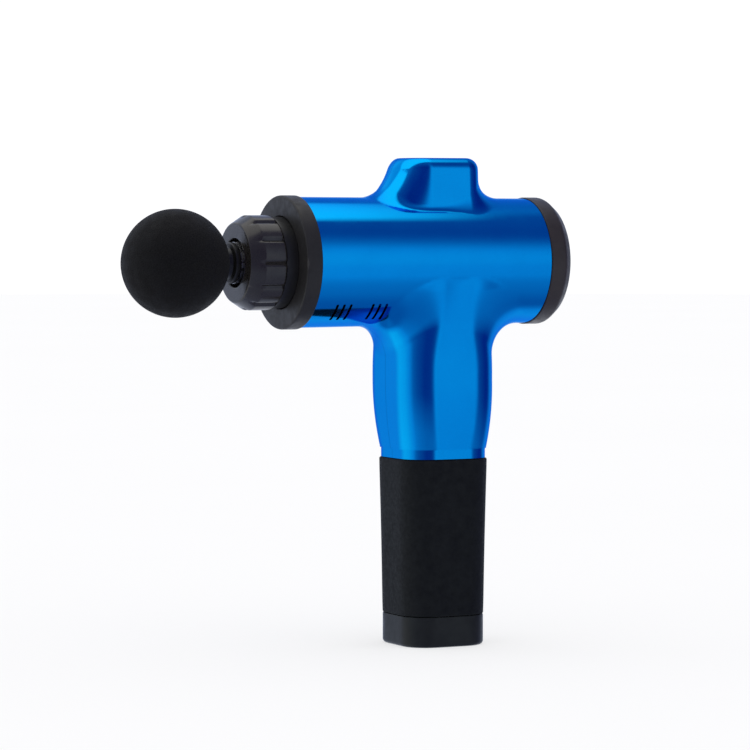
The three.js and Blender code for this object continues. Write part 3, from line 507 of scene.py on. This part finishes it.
def nose_collar():
    """The screw collar: a cone in front, then a cylinder of wide lobes between narrow grooves."""
    low, high = box_mm("nose_collar")
    radius, shoulder, face, hole, bore, roof = high.z - AXIS_Z, -97.3, 18.5, 11.5, 17.3, -95.3
    groove_depth, groove_width, crown = 1.15, 0.95, 0.35

    def fluted(r, a, angle):
        lobe = COLLAR_LOBES * angle / (2 * math.pi)
        off = abs(lobe - round(lobe))
        aside = off * 2 * math.pi * r / COLLAR_LOBES
        along = min(max((a - shoulder + 2.6) / 3.2, 0), 1) * min(max((high.x - a) / 0.5 + 0.6, 0), 1)
        outside = 1 if r > bore + 0.6 else 0
        cut = groove_depth * math.exp(-((aside / groove_width) ** 2)) + crown * (1 - 2 * off) ** 2
        return r - outside * along * cut

    profile = [(hole, low.x, 0.6), (face, low.x, 1.2), (radius, shoulder, 1.6), (radius, high.x, 0.8)]
    profile += [(bore, high.x, 0.2), (bore, roof, 0.3), (hole, roof, 0.3)]
    points = rounded(profile, 6)
    dense = []
    for (r, a), (s, b) in zip(points, points[1:] + points[:1]):
        pieces = max(1, int(math.hypot(s - r, b - a) / 1.2))
        dense += [(r + (s - r) * k / pieces, a + (b - a) * k / pieces) for k in range(pieces)]
    return lathe("lobed_collar", dense, centre=(0, 0, AXIS_Z), segments=24 * COLLAR_LOBES, modulate=fluted)


def massage_head():
    """The stem with its flange and waisted neck, and the foam ball that is moulded round it."""
    low, high = box_mm("ball_cover")
    radius = high.z - AXIS_Z
    middle = low.x + radius
    hole, pad = 7.5, 5.8
    inner = radius - pad

    def arc(reach, start, end, steps):
        turns = np.linspace(start, end, steps)
        return [(reach * math.sin(t), middle + reach * math.cos(t)) for t in turns]

    mouth_out, mouth_in = math.asin((hole + 0.8) / radius), math.asin(hole / inner)
    outside = arc(radius, mouth_out, math.pi, 72)
    inside = arc(inner, math.pi, mouth_in, 30)
    lip = [(hole, inside[-1][1] + 0.5), (hole, outside[0][1] - 0.7), (hole + 0.25, outside[0][1] - 0.2)]
    outside[-1], inside[0] = (0, outside[-1][1]), (0, inside[0][1])
    ball = lathe("foam_ball", outside + inside + lip, centre=(0, 0, AXIS_Z), segments=144)

    shank, groove, flange, neck, waist, tip = 5.8, 4, 9.6, 7.2, 6.7, 5.2
    rear, ring_half, seat, front = -80.5, 1.2, -114.3, -120
    profile = [(0, rear, 0), (shank, rear, 0.8)]
    for x in (-87, -98):
        start, end = x + ring_half, x - ring_half
        profile += [(shank, start, 0.15), (groove, start, 0.1), (groove, end, 0.1), (shank, end, 0.15)]
    profile += [(shank, -104.3, 0.3), (flange, -104.3, 0.5), (flange, -106.6, 0.9), (neck, -106.9, 0.7)]
    profile += [(waist, -109.4, 0.8), (neck, -112, 0.5), (neck, seat, 0.2), (tip, seat, 0.2)]
    profile += [(tip, front, 0.5), (0, front, 0)]
    stem = lathe("stem", rounded(profile), centre=(0, 0, AXIS_Z), segments=72)
    return ball, stem


# ---- rear cap, display and keys ----
def rear_cap():
    low, high = box_mm("rear_cap")
    radius, front, rear = high.z - AXIS_Z, BARREL["rear"] + GAP, high.x
    plug, face, floor = BARREL["rear_radius"] - WALL - GAP, REAR["face"], REAR["floor"]
    inner, under = plug - REAR["plug_wall"], floor - REAR["plug_wall"]
    profile = [(0, under, 0), (inner, under, 0.3), (inner, low.x, 0.2), (plug, low.x, 0.3)]
    profile += [(plug, front, 0), (radius, front, 0.5), (radius, rear - 4.2, 3.0), (radius - 3.4, rear, 2.4)]
    profile += [(face + 1.2, rear, 0.6), (face, floor, 0.2), (0, floor, 0)]
    cap = lathe("rear_bezel", rounded(profile, 8), centre=(0, 0, AXIS_Z), segments=128)
    window = block("window", (40, -12, AXIS_Z + 1), (70, 12, AXIS_Z + 14))
    return combine(cap, [window, *button_holes()], "DIFFERENCE")


def button_holes():
    spots = [(0, side * BUTTON["y"], AXIS_Z + BUTTON["z"]) for side in (-1, 1)]
    return [cylinder("hole", BUTTON["radius"] + GAP, 40, 80, "X", spot, 48) for spot in spots]


def display_lens():
    """The round window with its key holes, and plain bar marks printed on it."""
    low, high = box_mm("display_lens")
    radius = high.z - AXIS_Z
    profile = [(0, low.x, 0), (radius, low.x, 0.1), (radius, high.x, 0.5), (0, high.x, 0)]
    lens = lathe("round_lens", rounded(profile), centre=(0, 0, AXIS_Z), segments=112)
    combine(lens, button_holes(), "DIFFERENCE")
    shade(lens, 32)
    # each mark's middle across, its bottom, its width and its height
    bars = [(-7.2 + 3.6 * k, 2.6, 2.2, 2.6 + 1.1 * k) for k in range(5)]
    bars += [(0, 15.5, 17.0, 0.5), (0, -3.4, 3.2, 0.5)]
    marks = []
    for y, z, wide, tall in bars:
        start = (high.x - 0.1, y - wide / 2, AXIS_Z + z)
        end = (high.x + 0.04, y + wide / 2, AXIS_Z + z + tall)
        marks.append(block("mark", start, end))
    return lens, marks


def key(name, node, plus):
    """A round key with a crowned face and its raised sign."""
    low, high = box_mm(node)
    y, z = (low.y + high.y) / 2, (low.z + high.z) / 2
    flange, radius = (high.y - low.y) / 2, BUTTON["radius"]
    profile = [(0, low.x, 0), (flange, low.x, 0.2), (flange, low.x + 1.2, 0.2), (radius, low.x + 1.2, 0.1)]
    profile += [(radius, high.x - 0.55, 0.6), (radius - 1.2, high.x - 0.15, 0.9), (0, high.x - 0.1, 0)]
    body = lathe(name, rounded(profile, 6), centre=(0, y, z), segments=64)
    half, thick = 1.7, 0.32
    arms = [(half, thick)] + ([(thick, half)] if plus else [])
    for wide, tall in arms:
        arm = block("arm", (high.x - 0.6, y - wide, z - tall), (high.x - 0.01, y + wide, z + tall))
        combine(body, [arm], "UNION")
    shade(body, 32)
    return body


# ---- screws ----
def cross_outline(half, thick):
    quarter = [(half, -thick), (half, thick), (thick, thick)]
    points = []
    for k in range(4):
        c, s = round(math.cos(k * math.pi / 2)), round(math.sin(k * math.pi / 2))
        points += [(c * x - s * y, s * x + c * y) for x, y in quarter]
    return points


def shell_screw(number):
    """A pan-head screw with a cross recess, its head towards +Y."""
    low, high = box_mm(f"shell_screw_{number}")
    x, z = (low.x + high.x) / 2, (low.z + high.z) / 2
    head, shank, seat = SCREW["recess"] - 0.4, 1.4, high.y - 1.8
    profile = [(0, low.y, 0), (0.5, low.y, 0), (shank, low.y + 1.6, 0), (shank, seat, 0.1)]
    profile += [(head, seat, 0.2), (head, high.y - 0.6, 0.5), (head - 0.9, high.y, 0.6), (0, high.y, 0)]
    screw = lathe(f"cross_screw_{number}", rounded(profile), "Y", (x, 0, z), 40)
    turn = Matrix.Rotation(math.radians(-90), 4, "X")
    place = Matrix.Translation((x, high.y - 1.1, z)) @ turn @ Matrix.Rotation(0.4 + number, 4, "Z")
    combine(screw, [prism("cross", cross_outline(1.5, 0.33), 3, place)], "DIFFERENCE")
    shade(screw, 32)
    return screw


# ---- grip and base ----
def edge_sections(z, half, corner, radius, rising, steps=5):
    """Sections that round a rounded square over at its top or bottom edge."""
    sections = []
    for k in range(steps + 1):
        turn = math.pi / 2 * k / steps
        pull = radius * (1 - math.sin(turn)) if rising else radius * (1 - math.cos(turn))
        lift = radius * (1 - math.cos(turn)) if rising else -radius * (1 - math.sin(turn))
        sections.append((z + lift, half - pull, corner - pull))
    return sections


def grip_sleeve():
    low, high = box_mm("grip_sleeve")
    half, end_half, corner = GRIP["half"], GRIP["end_half"], GRIP["corner"]
    sections = edge_sections(low.z, end_half, corner, 0.4, True)
    for k in range(1, 12):
        t = k / 12
        swell = 0.12 * math.sin(math.pi * t)
        width = end_half + (half - end_half) * t - swell + 0.05
        sections.append((low.z + t * (high.z - low.z), width, corner))
    sections += edge_sections(high.z, half, corner, 0.7, False)
    sections += [(high.z, GRIP["bore"], GRIP["bore_corner"]), (low.z, GRIP["bore"], GRIP["bore_corner"])]
    return loft("rubber_sleeve", sections, closed=True)


def base_cap():
    low, high = box_mm("base_cap")
    half, corner, wall = BASE["half"], BASE["corner"], BASE["wall"]
    sections = edge_sections(low.z, half, corner, BASE["round"], True, 8)
    sections += edge_sections(high.z, half, corner, 0.5, False)
    sections += [(high.z, half - wall, corner - wall), (BASE["floor"], half - wall, corner - wall)]
    cap = loft("foot_cap", sections)
    under, over = -5, 8
    cuts = [cylinder("jack_hole", JACK["hole"], under, over, "Z", (JACK["x"], 0, 0), 48)]
    switch_low, switch_high = box_mm("switch_housing")
    hole_low = (switch_low.x - GAP, switch_low.y - GAP, under)
    hole_high = (switch_high.x + GAP, switch_high.y + GAP, over)
    cuts.append(block("switch_hole", hole_low, hole_high))
    for number in (1, 2):
        screw_low, screw_high = box_mm(f"base_screw_{number}")
        y = (screw_low.y + screw_high.y) / 2
        cuts.append(cylinder("seat", BASE_SCREW["seat"], under, BASE_SCREW["depth"], "Z", (0, y, 0), 32))
        cuts.append(cylinder("bore", BASE_SCREW["bore"], under, over, "Z", (0, y, 0), 24))
    combine(cap, cuts, "DIFFERENCE")
    shade(cap, 32)
    return cap


def power_rocker():
    """The rocker's paddle, tipped to its rest position, with rounded edges and its pivot pin."""
    low, high = box_mm("power_rocker")
    pivot = Vector((ROCKER["x"], 0, ROCKER["pivot"]))
    half_x, half_y, face, back = ROCKER["half_x"], ROCKER["half_y"], ROCKER["face"], ROCKER["back"]
    brow, crown = face + 0.34, face + ROCKER["crown"]
    outline = [(-half_x, face), (-half_x / 2, brow), (0, crown), (half_x / 2, brow), (half_x, face)]
    outline += [(half_x, pivot.z), (back, pivot.z + back), (-back, pivot.z + back), (-half_x, pivot.z)]
    tilt = Matrix.Rotation(math.radians(-ROCKER_TILT), 4, "Y")
    flat = Matrix.Translation((0, half_y, -pivot.z)) @ Matrix.Rotation(math.pi / 2, 4, "X")
    body = prism("rocker_paddle", outline, 2 * half_y, Matrix.Translation(pivot) @ tilt @ flat)
    pin = cylinder("pin", 1.1, low.y, high.y, "Y", (pivot.x, 0, pivot.z), 24)
    combine(body, [pin], "UNION")
    soften = body.modifiers.new("soften", "BEVEL")
    soften.width = 0.35 * MM
    soften.segments = 3
    soften.limit_method = "ANGLE"
    soften.angle_limit = math.radians(40)
    combine(body, [], "UNION")
    shade(body, 32)
    return body


# ---- materials ----
class Nodes:
    """A material's node tree with a few shorthands."""

    def __init__(self, name):
        self.material = bpy.data.materials.new(name)
        self.material.use_nodes = True
        self.tree = self.material.node_tree
        self.shader = self.tree.nodes["Principled BSDF"]
        self.place = self.add("ShaderNodeTexCoord").outputs["Object"]

    def add(self, kind, **values):
        node = self.tree.nodes.new(kind)
        for field, value in values.items():
            setattr(node, field, value)
        return node

    def link(self, output, socket):
        self.tree.links.new(output, socket)

    def noise(self, size, detail=3.0, rough=0.55, stretch=(1, 1, 1)):
        """Noise whose blotches are about size millimetres, drawn out along an axis by stretch."""
        scaled = self.add("ShaderNodeMapping")
        scaled.inputs["Scale"].default_value = [1 / (size * MM * s) for s in stretch]
        self.link(self.place, scaled.inputs["Vector"])
        noise = self.add("ShaderNodeTexNoise")
        noise.inputs["Scale"].default_value = 1
        noise.inputs["Detail"].default_value = detail
        noise.inputs["Roughness"].default_value = rough
        self.link(scaled.outputs["Vector"], noise.inputs["Vector"])
        return noise.outputs["Fac"]

    def cells(self, size):
        """Round cells about size millimetres across, dark in their middles."""
        scaled = self.add("ShaderNodeMapping")
        scaled.inputs["Scale"].default_value = [1 / (size * MM)] * 3
        self.link(self.place, scaled.inputs["Vector"])
        voronoi = self.add("ShaderNodeTexVoronoi")
        voronoi.inputs["Scale"].default_value = 1
        self.link(scaled.outputs["Vector"], voronoi.inputs["Vector"])
        return voronoi.outputs["Distance"]

    def spread(self, value, low, high, start=0.35, end=0.65):
        """A noise value stretched from low to high."""
        node = self.add("ShaderNodeMapRange")
        node.inputs["From Min"].default_value = start
        node.inputs["From Max"].default_value = end
        node.inputs["To Min"].default_value = low
        node.inputs["To Max"].default_value = high
        self.link(value, node.inputs["Value"])
        return node.outputs["Result"]

    def blend(self, value, low, high, start=0.3, end=0.7):
        ramp = self.add("ShaderNodeValToRGB")
        ramp.color_ramp.elements[0].position = start
        ramp.color_ramp.elements[0].color = (*low, 1)
        ramp.color_ramp.elements[1].position = end
        ramp.color_ramp.elements[1].color = (*high, 1)
        self.link(value, ramp.inputs["Fac"])
        return ramp.outputs["Color"]

    def bump(self, layers):
        """Relief from (height, depth in millimetres) layers, added one on another."""
        normal = None
        for height, depth in layers:
            node = self.add("ShaderNodeBump")
            node.inputs["Strength"].default_value = 1
            node.inputs["Distance"].default_value = depth * MM
            self.link(height, node.inputs["Height"])
            if normal is not None:
                self.link(normal, node.inputs["Normal"])
            normal = node.outputs["Normal"]
        self.link(normal, self.shader.inputs["Normal"])

    def set(self, **values):
        for name, value in values.items():
            self.shader.inputs[name.replace("_", " ")].default_value = value


def surface(
    name, dark, light, roughness, patch=9.0, relief=((0.5, 0.004),), edge_lightening=0.0, stretch=(1, 1, 1), **values
):
    """A finish between two colours and two roughnesses, with fine relief and a lighter colour on sharp edges.
    """
    nodes = Nodes(name)
    nodes.set(**values)
    color = nodes.blend(nodes.noise(patch, 5, 0.6, stretch), dark, light)
    # lighter colour on sharp convex edges, set by the mesh's pointiness
    if edge_lightening:
        edge = nodes.spread(nodes.add("ShaderNodeNewGeometry").outputs["Pointiness"], 0, edge_lightening, 0.53, 0.62)
        mix = nodes.add("ShaderNodeMix", data_type="RGBA")
        nodes.link(edge, mix.inputs["Factor"])
        nodes.link(color, mix.inputs["A"])
        mix.inputs["B"].default_value = (*[min(1, c * 2.2 + 0.02) for c in light], 1)
        color = mix.outputs["Result"]
    nodes.link(color, nodes.shader.inputs["Base Color"])
    rough = nodes.spread(nodes.noise(patch * 0.4, 4, 0.6, stretch), *roughness)
    nodes.link(rough, nodes.shader.inputs["Roughness"])
    nodes.bump([(nodes.noise(size, 3, 0.6, stretch), depth) for size, depth in relief])
    return nodes.material


def blue_paint():
    """Candy-blue metallic lacquer: fine flakes under a clear coat with a trace of orange peel."""
    nodes = Nodes("blue_lacquer")
    nodes.set(Metallic=1.0, Specular_Tint=(0.03, 0.4, 0.85, 1), Coat_Weight=0.03, Coat_Roughness=0.05)
    flake = nodes.noise(0.22, 2, 0.7)
    color = nodes.blend(flake, (0.0, 0.285, 0.65), (0.0, 0.33, 0.73), 0.35, 0.65)
    nodes.link(color, nodes.shader.inputs["Base Color"])
    nodes.link(nodes.spread(nodes.noise(14, 4), 0.1, 0.15), nodes.shader.inputs["Roughness"])
    nodes.bump([(nodes.noise(0.3, 2), 0.0004), (nodes.noise(3.2, 1), 0.003)])
    return nodes.material


def foam():
    """Closed-cell foam with fine pores."""
    nodes = Nodes("closed_cell_foam")
    nodes.set(Specular_IOR_Level=0.09, Sheen_Weight=0.02, Sheen_Roughness=0.6)
    tone = nodes.noise(0.7, 4, 0.7)
    color = nodes.blend(tone, (0.0022, 0.0022, 0.0024), (0.006, 0.006, 0.0065))
    nodes.link(color, nodes.shader.inputs["Base Color"])
    nodes.link(nodes.spread(nodes.noise(5), 0.62, 0.8), nodes.shader.inputs["Roughness"])
    nodes.bump([(nodes.cells(0.55), 0.06), (nodes.noise(0.25, 3), 0.03)])
    return nodes.material


def black_plastic(name, level, warm=0.0, roughness=(0.34, 0.46), relief=((0.35, 0.006),), **values):
    dark = (level * (1 + warm), level, level * (1 - warm * 0.5))
    light = tuple(c * 1.45 for c in dark)
    return surface(name, dark, light, roughness, relief=relief, edge_lightening=0.35, **values)


def metal(name, dark, light, roughness, stretch=(1, 1, 1)):
    return surface(name, dark, light, roughness, 3.0, ((0.3, 0.002),), stretch=stretch, Metallic=1.0)


def make_materials():
    """One material for each of the record's slots."""
    brushed = (12, 12, 1)
    return {
        "shell_blue": blue_paint(),
        "ball_foam": foam(),
        "trim_dark_grey": black_plastic(
            "satin_trim", 0.011, 0.05, (0.4, 0.55), ((0.5, 0.014), (0.2, 0.005)), Specular_IOR_Level=0.27
        ),
        "collar_dark_grey": black_plastic(
            "collar_plastic", 0.0105, 0.12, (0.17, 0.27), ((0.6, 0.003),), Specular_IOR_Level=0.42
        ),
        "cap_black": black_plastic(
            "bezel_plastic", 0.013, 0.3, (0.34, 0.5), ((0.4, 0.01), (2.0, 0.01)), Specular_IOR_Level=0.4
        ),
        "inner_black_plastic": black_plastic("inner_plastic", 0.006, Specular_IOR_Level=0.3),
        "white_polymer": surface("acetal", (0.66, 0.65, 0.6), (0.76, 0.75, 0.7), (0.35, 0.45)),
        "button_grey": black_plastic("key_plastic", 0.05, roughness=(0.4, 0.5)),
        "base_charcoal": black_plastic(
            "foot_plastic", 0.0095, -0.15, (0.3, 0.42), ((0.4, 0.006),), Specular_IOR_Level=0.14
        ),
        "display_lens": surface(
            "tinted_lens", (0.003, 0.003, 0.004), (0.005, 0.005, 0.006), (0.03, 0.07), 20,
            ((6, 0.002),), Coat_Weight=0.5,
        ),
        "grip_rubber": surface(
            "grip_rubber_skin", (0.0034, 0.0044, 0.005), (0.0062, 0.0078, 0.0086), (0.6, 0.75), 4.0,
            ((0.45, 0.03), (0.16, 0.012)), edge_lightening=0.2, Specular_IOR_Level=0.14,
        ),
        "o_ring_rubber": surface(
            "o_ring_skin", (0.004, 0.004, 0.004), (0.008, 0.008, 0.008), (0.4, 0.5), 2.0
        ),
        "lead_insulation": surface("lead_skin", (0.3, 0.01, 0.01), (0.4, 0.02, 0.016), (0.4, 0.5), 3.0),
        "aluminium": metal("turned_aluminium", (0.7, 0.71, 0.73), (0.8, 0.81, 0.83), (0.24, 0.4), brushed),
        "cell_wrap": surface("cell_sleeve", (0.02, 0.13, 0.4), (0.03, 0.17, 0.48), (0.25, 0.35), 6.0),
        "steel": metal("bright_steel", (0.5, 0.51, 0.53), (0.64, 0.65, 0.67), (0.2, 0.36), brushed),
        "dark_steel": metal("blackened_steel", (0.12, 0.12, 0.13), (0.2, 0.2, 0.21), (0.35, 0.5)),
        "copper": metal("enamelled_copper", (0.5, 0.2, 0.08), (0.62, 0.28, 0.12), (0.25, 0.4), (1, 1, 8)),
        "brass": metal("turned_brass", (0.6, 0.42, 0.16), (0.7, 0.5, 0.22), (0.2, 0.34)),
        "circuit_board": surface("solder_mask", (0.006, 0.07, 0.025), (0.012, 0.11, 0.04), (0.3, 0.45), 2.0),
    }


def printed_marks():
    nodes = Nodes("lens_print")
    color = nodes.blend(nodes.noise(0.8), (0.5, 0.55, 0.6), (0.62, 0.67, 0.72))
    nodes.link(color, nodes.shader.inputs["Base Color"])
    nodes.link(nodes.spread(nodes.noise(1.5), 0.4, 0.5), nodes.shader.inputs["Roughness"])
    return nodes.material


# ---- studio ----
# Brightness around the object, by angle from the front (-Y) towards the head (-X), in degrees.
STUDIO_RING = (
    (-180, 0.5), (-150, 0.75), (-114, 0.62), (-100, 0.3), (-88, 0.05), (-74, 0.03), (-52, 0.08),
    (-38, 0.12), (-27, 0.1), (-13, 0.08), (3, 0.05), (20, 0.045), (48, 0.12), (63, 0.2),
    (80, 0.5), (97, 0.85), (123, 1.05), (148, 0.6), (180, 0.5),
)
# How much of that is left, and what is added all round, by angle above the horizon.
WALL_FADE = ((-68, 0.1), (-50, 0.9), (0, 1), (25, 0.55), (50, 0.25), (90, 0.12))
CEILING = ((-60, 0.2), (-22, 0.24), (-7, 0.045), (30, 0.04), (60, 0.14))
GLOSS_TINT = (
    (0, (0.02, 0.008, 0.12)), (0.06, (0.045, 0.04, 0.22)), (0.39, (0.42, 0.5, 0.72)), (1, (1, 1, 1)),
)
STRIP = {"angle": -25, "width": 10, "rise": 8, "height": 30, "level": 0.56}
BACK_BOX = {"angle": 165, "rise": 30, "spread": 20, "level": 0.75}
LEVEL_TOP = 1.3


def studio_world():
    """White surround for the eye and for soft light, with a studio of soft boxes that only gloss picks up."""
    world = bpy.data.worlds.new("studio")
    bpy.context.scene.world = world
    world.use_nodes = True
    tree = world.node_tree
    tree.nodes.clear()

    def math_node(operation, *inputs):
        node = tree.nodes.new("ShaderNodeMath")
        node.operation = operation
        for socket, value in zip(node.inputs, inputs):
            if isinstance(value, (int, float)):
                socket.default_value = value
            else:
                tree.links.new(value, socket)
        return node.outputs[0]

    def ramp(value, stops):
        node = tree.nodes.new("ShaderNodeValToRGB")
        elements = node.color_ramp.elements
        while len(elements) < len(stops):
            elements.new(0.5)
        for element, (place, color) in zip(elements, stops):
            element.position = place
        for element, (place, color) in zip(elements, stops):
            element.color = (*color, 1) if isinstance(color, tuple) else (color, color, color, 1)
        tree.links.new(value, node.inputs["Fac"])
        return node.outputs["Color"]

    direction = tree.nodes.new("ShaderNodeTexCoord").outputs["Generated"]
    parts = tree.nodes.new("ShaderNodeSeparateXYZ")
    tree.links.new(direction, parts.inputs["Vector"])
    x, y, z = parts.outputs
    around = math_node("ARCTAN2", math_node("MULTIPLY", x, -1), math_node("MULTIPLY", y, -1))
    turn = math_node("MULTIPLY_ADD", around, 0.5 / math.pi, 0.5)
    rise = math_node("MULTIPLY_ADD", math_node("ARCSINE", z), 1 / math.pi, 0.5)

    ring = ramp(turn, [((angle + 180) / 360, level / LEVEL_TOP) for angle, level in STUDIO_RING])
    walls = ramp(rise, [(e / 180 + 0.5, v) for e, v in WALL_FADE])
    across = soft_patch(math_node, turn, STRIP["angle"], STRIP["width"], 360)
    upward = soft_patch(math_node, rise, STRIP["rise"], STRIP["height"], 180)
    strip = math_node("MULTIPLY", math_node("MULTIPLY", across, upward), STRIP["level"] / LEVEL_TOP)
    ceiling = ramp(rise, [(e / 180 + 0.5, v / LEVEL_TOP) for e, v in CEILING])
    level = math_node("ADD", math_node("ADD", strip, math_node("MULTIPLY", ring, walls)), ceiling)
    turned, raised = math.radians(BACK_BOX["angle"]), math.radians(BACK_BOX["rise"])
    aim = tree.nodes.new("ShaderNodeVectorMath")
    aim.operation = "DOT_PRODUCT"
    aim.inputs[1].default_value = (
        -math.sin(turned) * math.cos(raised), -math.cos(turned) * math.cos(raised), math.sin(raised)
    )
    tree.links.new(direction, aim.inputs[0])
    spread = 1 - math.cos(math.radians(BACK_BOX["spread"]))
    off_axis = math_node("DIVIDE", math_node("SUBTRACT", aim.outputs["Value"], 1), spread)
    level = math_node("MULTIPLY_ADD", math_node("EXPONENT", off_axis), BACK_BOX["level"] / LEVEL_TOP, level)
    tint = ramp(level, GLOSS_TINT)

    gloss = tree.nodes.new("ShaderNodeBackground")
    gloss.inputs["Strength"].default_value = LEVEL_TOP
    tree.links.new(tint, gloss.inputs["Color"])
    soft = tree.nodes.new("ShaderNodeBackground")
    soft.inputs["Color"].default_value = (0.985, 0.985, 1.0, 1)
    soft.inputs["Strength"].default_value = 1.07
    mix = tree.nodes.new("ShaderNodeMixShader")
    tree.links.new(tree.nodes.new("ShaderNodeLightPath").outputs["Is Glossy Ray"], mix.inputs["Fac"])
    tree.links.new(soft.outputs[0], mix.inputs[1])
    tree.links.new(gloss.outputs[0], mix.inputs[2])
    out = tree.nodes.new("ShaderNodeOutputWorld")
    tree.links.new(mix.outputs[0], out.inputs["Surface"])


def soft_patch(math_node, value, centre, width, whole):
    """1 in the middle of a patch of the sky, falling off softly to 0 about its width away."""
    middle = centre / whole + 0.5
    away = math_node("MULTIPLY", math_node("SUBTRACT", value, middle), whole / width)
    return math_node("EXPONENT", math_node("MULTIPLY", math_node("MULTIPLY", away, away), -1))


def studio_floor():
    """A pale floor that runs out to the white surround, and glows a little so that its shadows stay soft."""
    floor = lathe("floor", [(0, 0), (7000, 0), (7000, -2), (0, -2)], "Z", (0, 0, -0.05), 64)
    nodes = Nodes("pale_floor")
    color = nodes.blend(nodes.noise(400), (0.35, 0.35, 0.357), (0.356, 0.356, 0.363))
    nodes.link(color, nodes.shader.inputs["Base Color"])
    nodes.link(nodes.spread(nodes.noise(60), 0.85, 0.95), nodes.shader.inputs["Roughness"])
    nodes.set(Specular_IOR_Level=0.0, Emission_Color=(1, 1, 1, 1), Emission_Strength=0.61)
    floor.data.materials.append(nodes.material)
    floor.visible_glossy = False


def overhead_box():
    """A soft box over the barrel, seen only in gloss, whose soft edge ends the band along the barrel."""
    height, front, rear, near, far, edge = 450, -700, 215, -80, 330, 45
    end, left, right = rear + edge, near - edge, far + edge
    outline = [(front, left), (end, left), (end, right), (front, right)]
    box = prism("overhead_box", outline, 2, Matrix.Translation((0, 0, AXIS_Z + height)))
    nodes = Nodes("overhead_glow")
    parts = nodes.add("ShaderNodeSeparateXYZ")
    nodes.link(nodes.place, parts.inputs["Vector"])
    glow = nodes.spread(parts.outputs["X"], 1, 0, (rear - 2 * edge) * MM, (rear + edge) * MM)
    for start, end in ((near - edge, near + edge), (far + edge, far - edge)):
        product = nodes.add("ShaderNodeMath", operation="MULTIPLY")
        nodes.link(glow, product.inputs[0])
        nodes.link(nodes.spread(parts.outputs["Y"], 0, 1, start * MM, end * MM), product.inputs[1])
        glow = product.outputs[0]
    kinds = ("Emission", "BsdfTransparent", "MixShader")
    emission, clear, mix = (nodes.add(f"ShaderNode{kind}") for kind in kinds)
    emission.inputs["Strength"].default_value = 1.5
    nodes.link(glow, mix.inputs[0])
    nodes.link(clear.outputs[0], mix.inputs[1])
    nodes.link(emission.outputs[0], mix.inputs[2])
    nodes.link(mix.outputs[0], nodes.tree.nodes["Material Output"].inputs["Surface"])
    box.data.materials.append(nodes.material)
    box.visible_camera = box.visible_diffuse = box.visible_transmission = box.visible_shadow = False


def camera():
    azimuth, elevation = math.radians(CAMERA["azimuth"]), math.radians(CAMERA["elevation"])
    level = math.cos(elevation)
    back = Vector((math.sin(azimuth) * level, -math.cos(azimuth) * level, math.sin(elevation)))
    right = Vector((0, 0, 1)).cross(back).normalized()
    up = back.cross(right)
    target = Vector((0, 0, AXIS_Z * MM))
    distance = CAMERA["distance"] * MM
    aim = target - (right * TARGET_OFFSET[0] + up * TARGET_OFFSET[1]) * distance
    data = bpy.data.cameras.new("camera")
    data.sensor_width = 36
    data.lens = CAMERA["focal_px"] / CAMERA["frame_px"] * data.sensor_width
    data.clip_end = 20
    obj = bpy.data.objects.new("camera", data)
    bpy.context.scene.collection.objects.link(obj)
    obj.location = target + back * distance
    obj.rotation_euler = (obj.location - aim).to_track_quat("Z", "Y").to_euler()
    bpy.context.scene.camera = obj
    bpy.context.scene.view_settings.view_transform = "Standard"


# ---- assembly ----
MATERIALS = make_materials()
SLOT_OF = {part["node"]: part["material_slot"] for part in frame["record"]["subparts"]}


def fit(piece, body, *nodes):
    """A piece rides on its body, stands for its CAD nodes and takes their finish."""
    slot = SLOT_OF[nodes[0]]
    piece.data.materials.clear()
    piece.data.materials.append(MATERIALS[slot])
    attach(piece, body)
    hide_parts(*nodes)
    return piece


def add_marks(lens, marks):
    """The printed bars become part of the lens, in their own finish."""
    lens.data.materials.append(printed_marks())
    work = bmesh.new()
    work.from_mesh(lens.data)
    for mark in marks:
        known = len(work.faces)
        work.from_mesh(mark.data)
        work.faces.ensure_lookup_table()
        for face in work.faces[known:]:
            face.material_index = 1
        bpy.data.objects.remove(mark)
    work.to_mesh(lens.data)
    work.free()


camera()
studio_world()
studio_floor()
overhead_box()

for half, node in zip(shell_halves(), ("left_housing_shell", "right_housing_shell")):
    fit(half, "housing", node)
for number in range(1, 6):
    fit(shell_screw(number), "housing", f"shell_screw_{number}")
fit(front_ring(), "housing", "front_ring")
fit(nose_block(), "housing", "nose_block")
fit(nose_collar(), "collar", "nose_collar")
ball, stem = massage_head()
fit(ball, "massage_head", "ball_cover")
fit(stem, "massage_head", "head_stem")
fit(rear_cap(), "housing", "rear_cap")
lens, marks = display_lens()
fit(lens, "housing", "display_lens")
add_marks(lens, marks)
fit(key("plus_key_cap", "plus_button", True), "plus_key", "plus_button")
fit(key("minus_key_cap", "minus_button", False), "minus_key", "minus_button")
fit(grip_sleeve(), "housing", "grip_sleeve")
fit(base_cap(), "housing", "base_cap")
fit(power_rocker(), "rocker", "power_rocker")

for name, node in frame["nodes"].items():
    if not node.hide_render:
        node.data.materials.clear()
        node.data.materials.append(MATERIALS[SLOT_OF[name]])
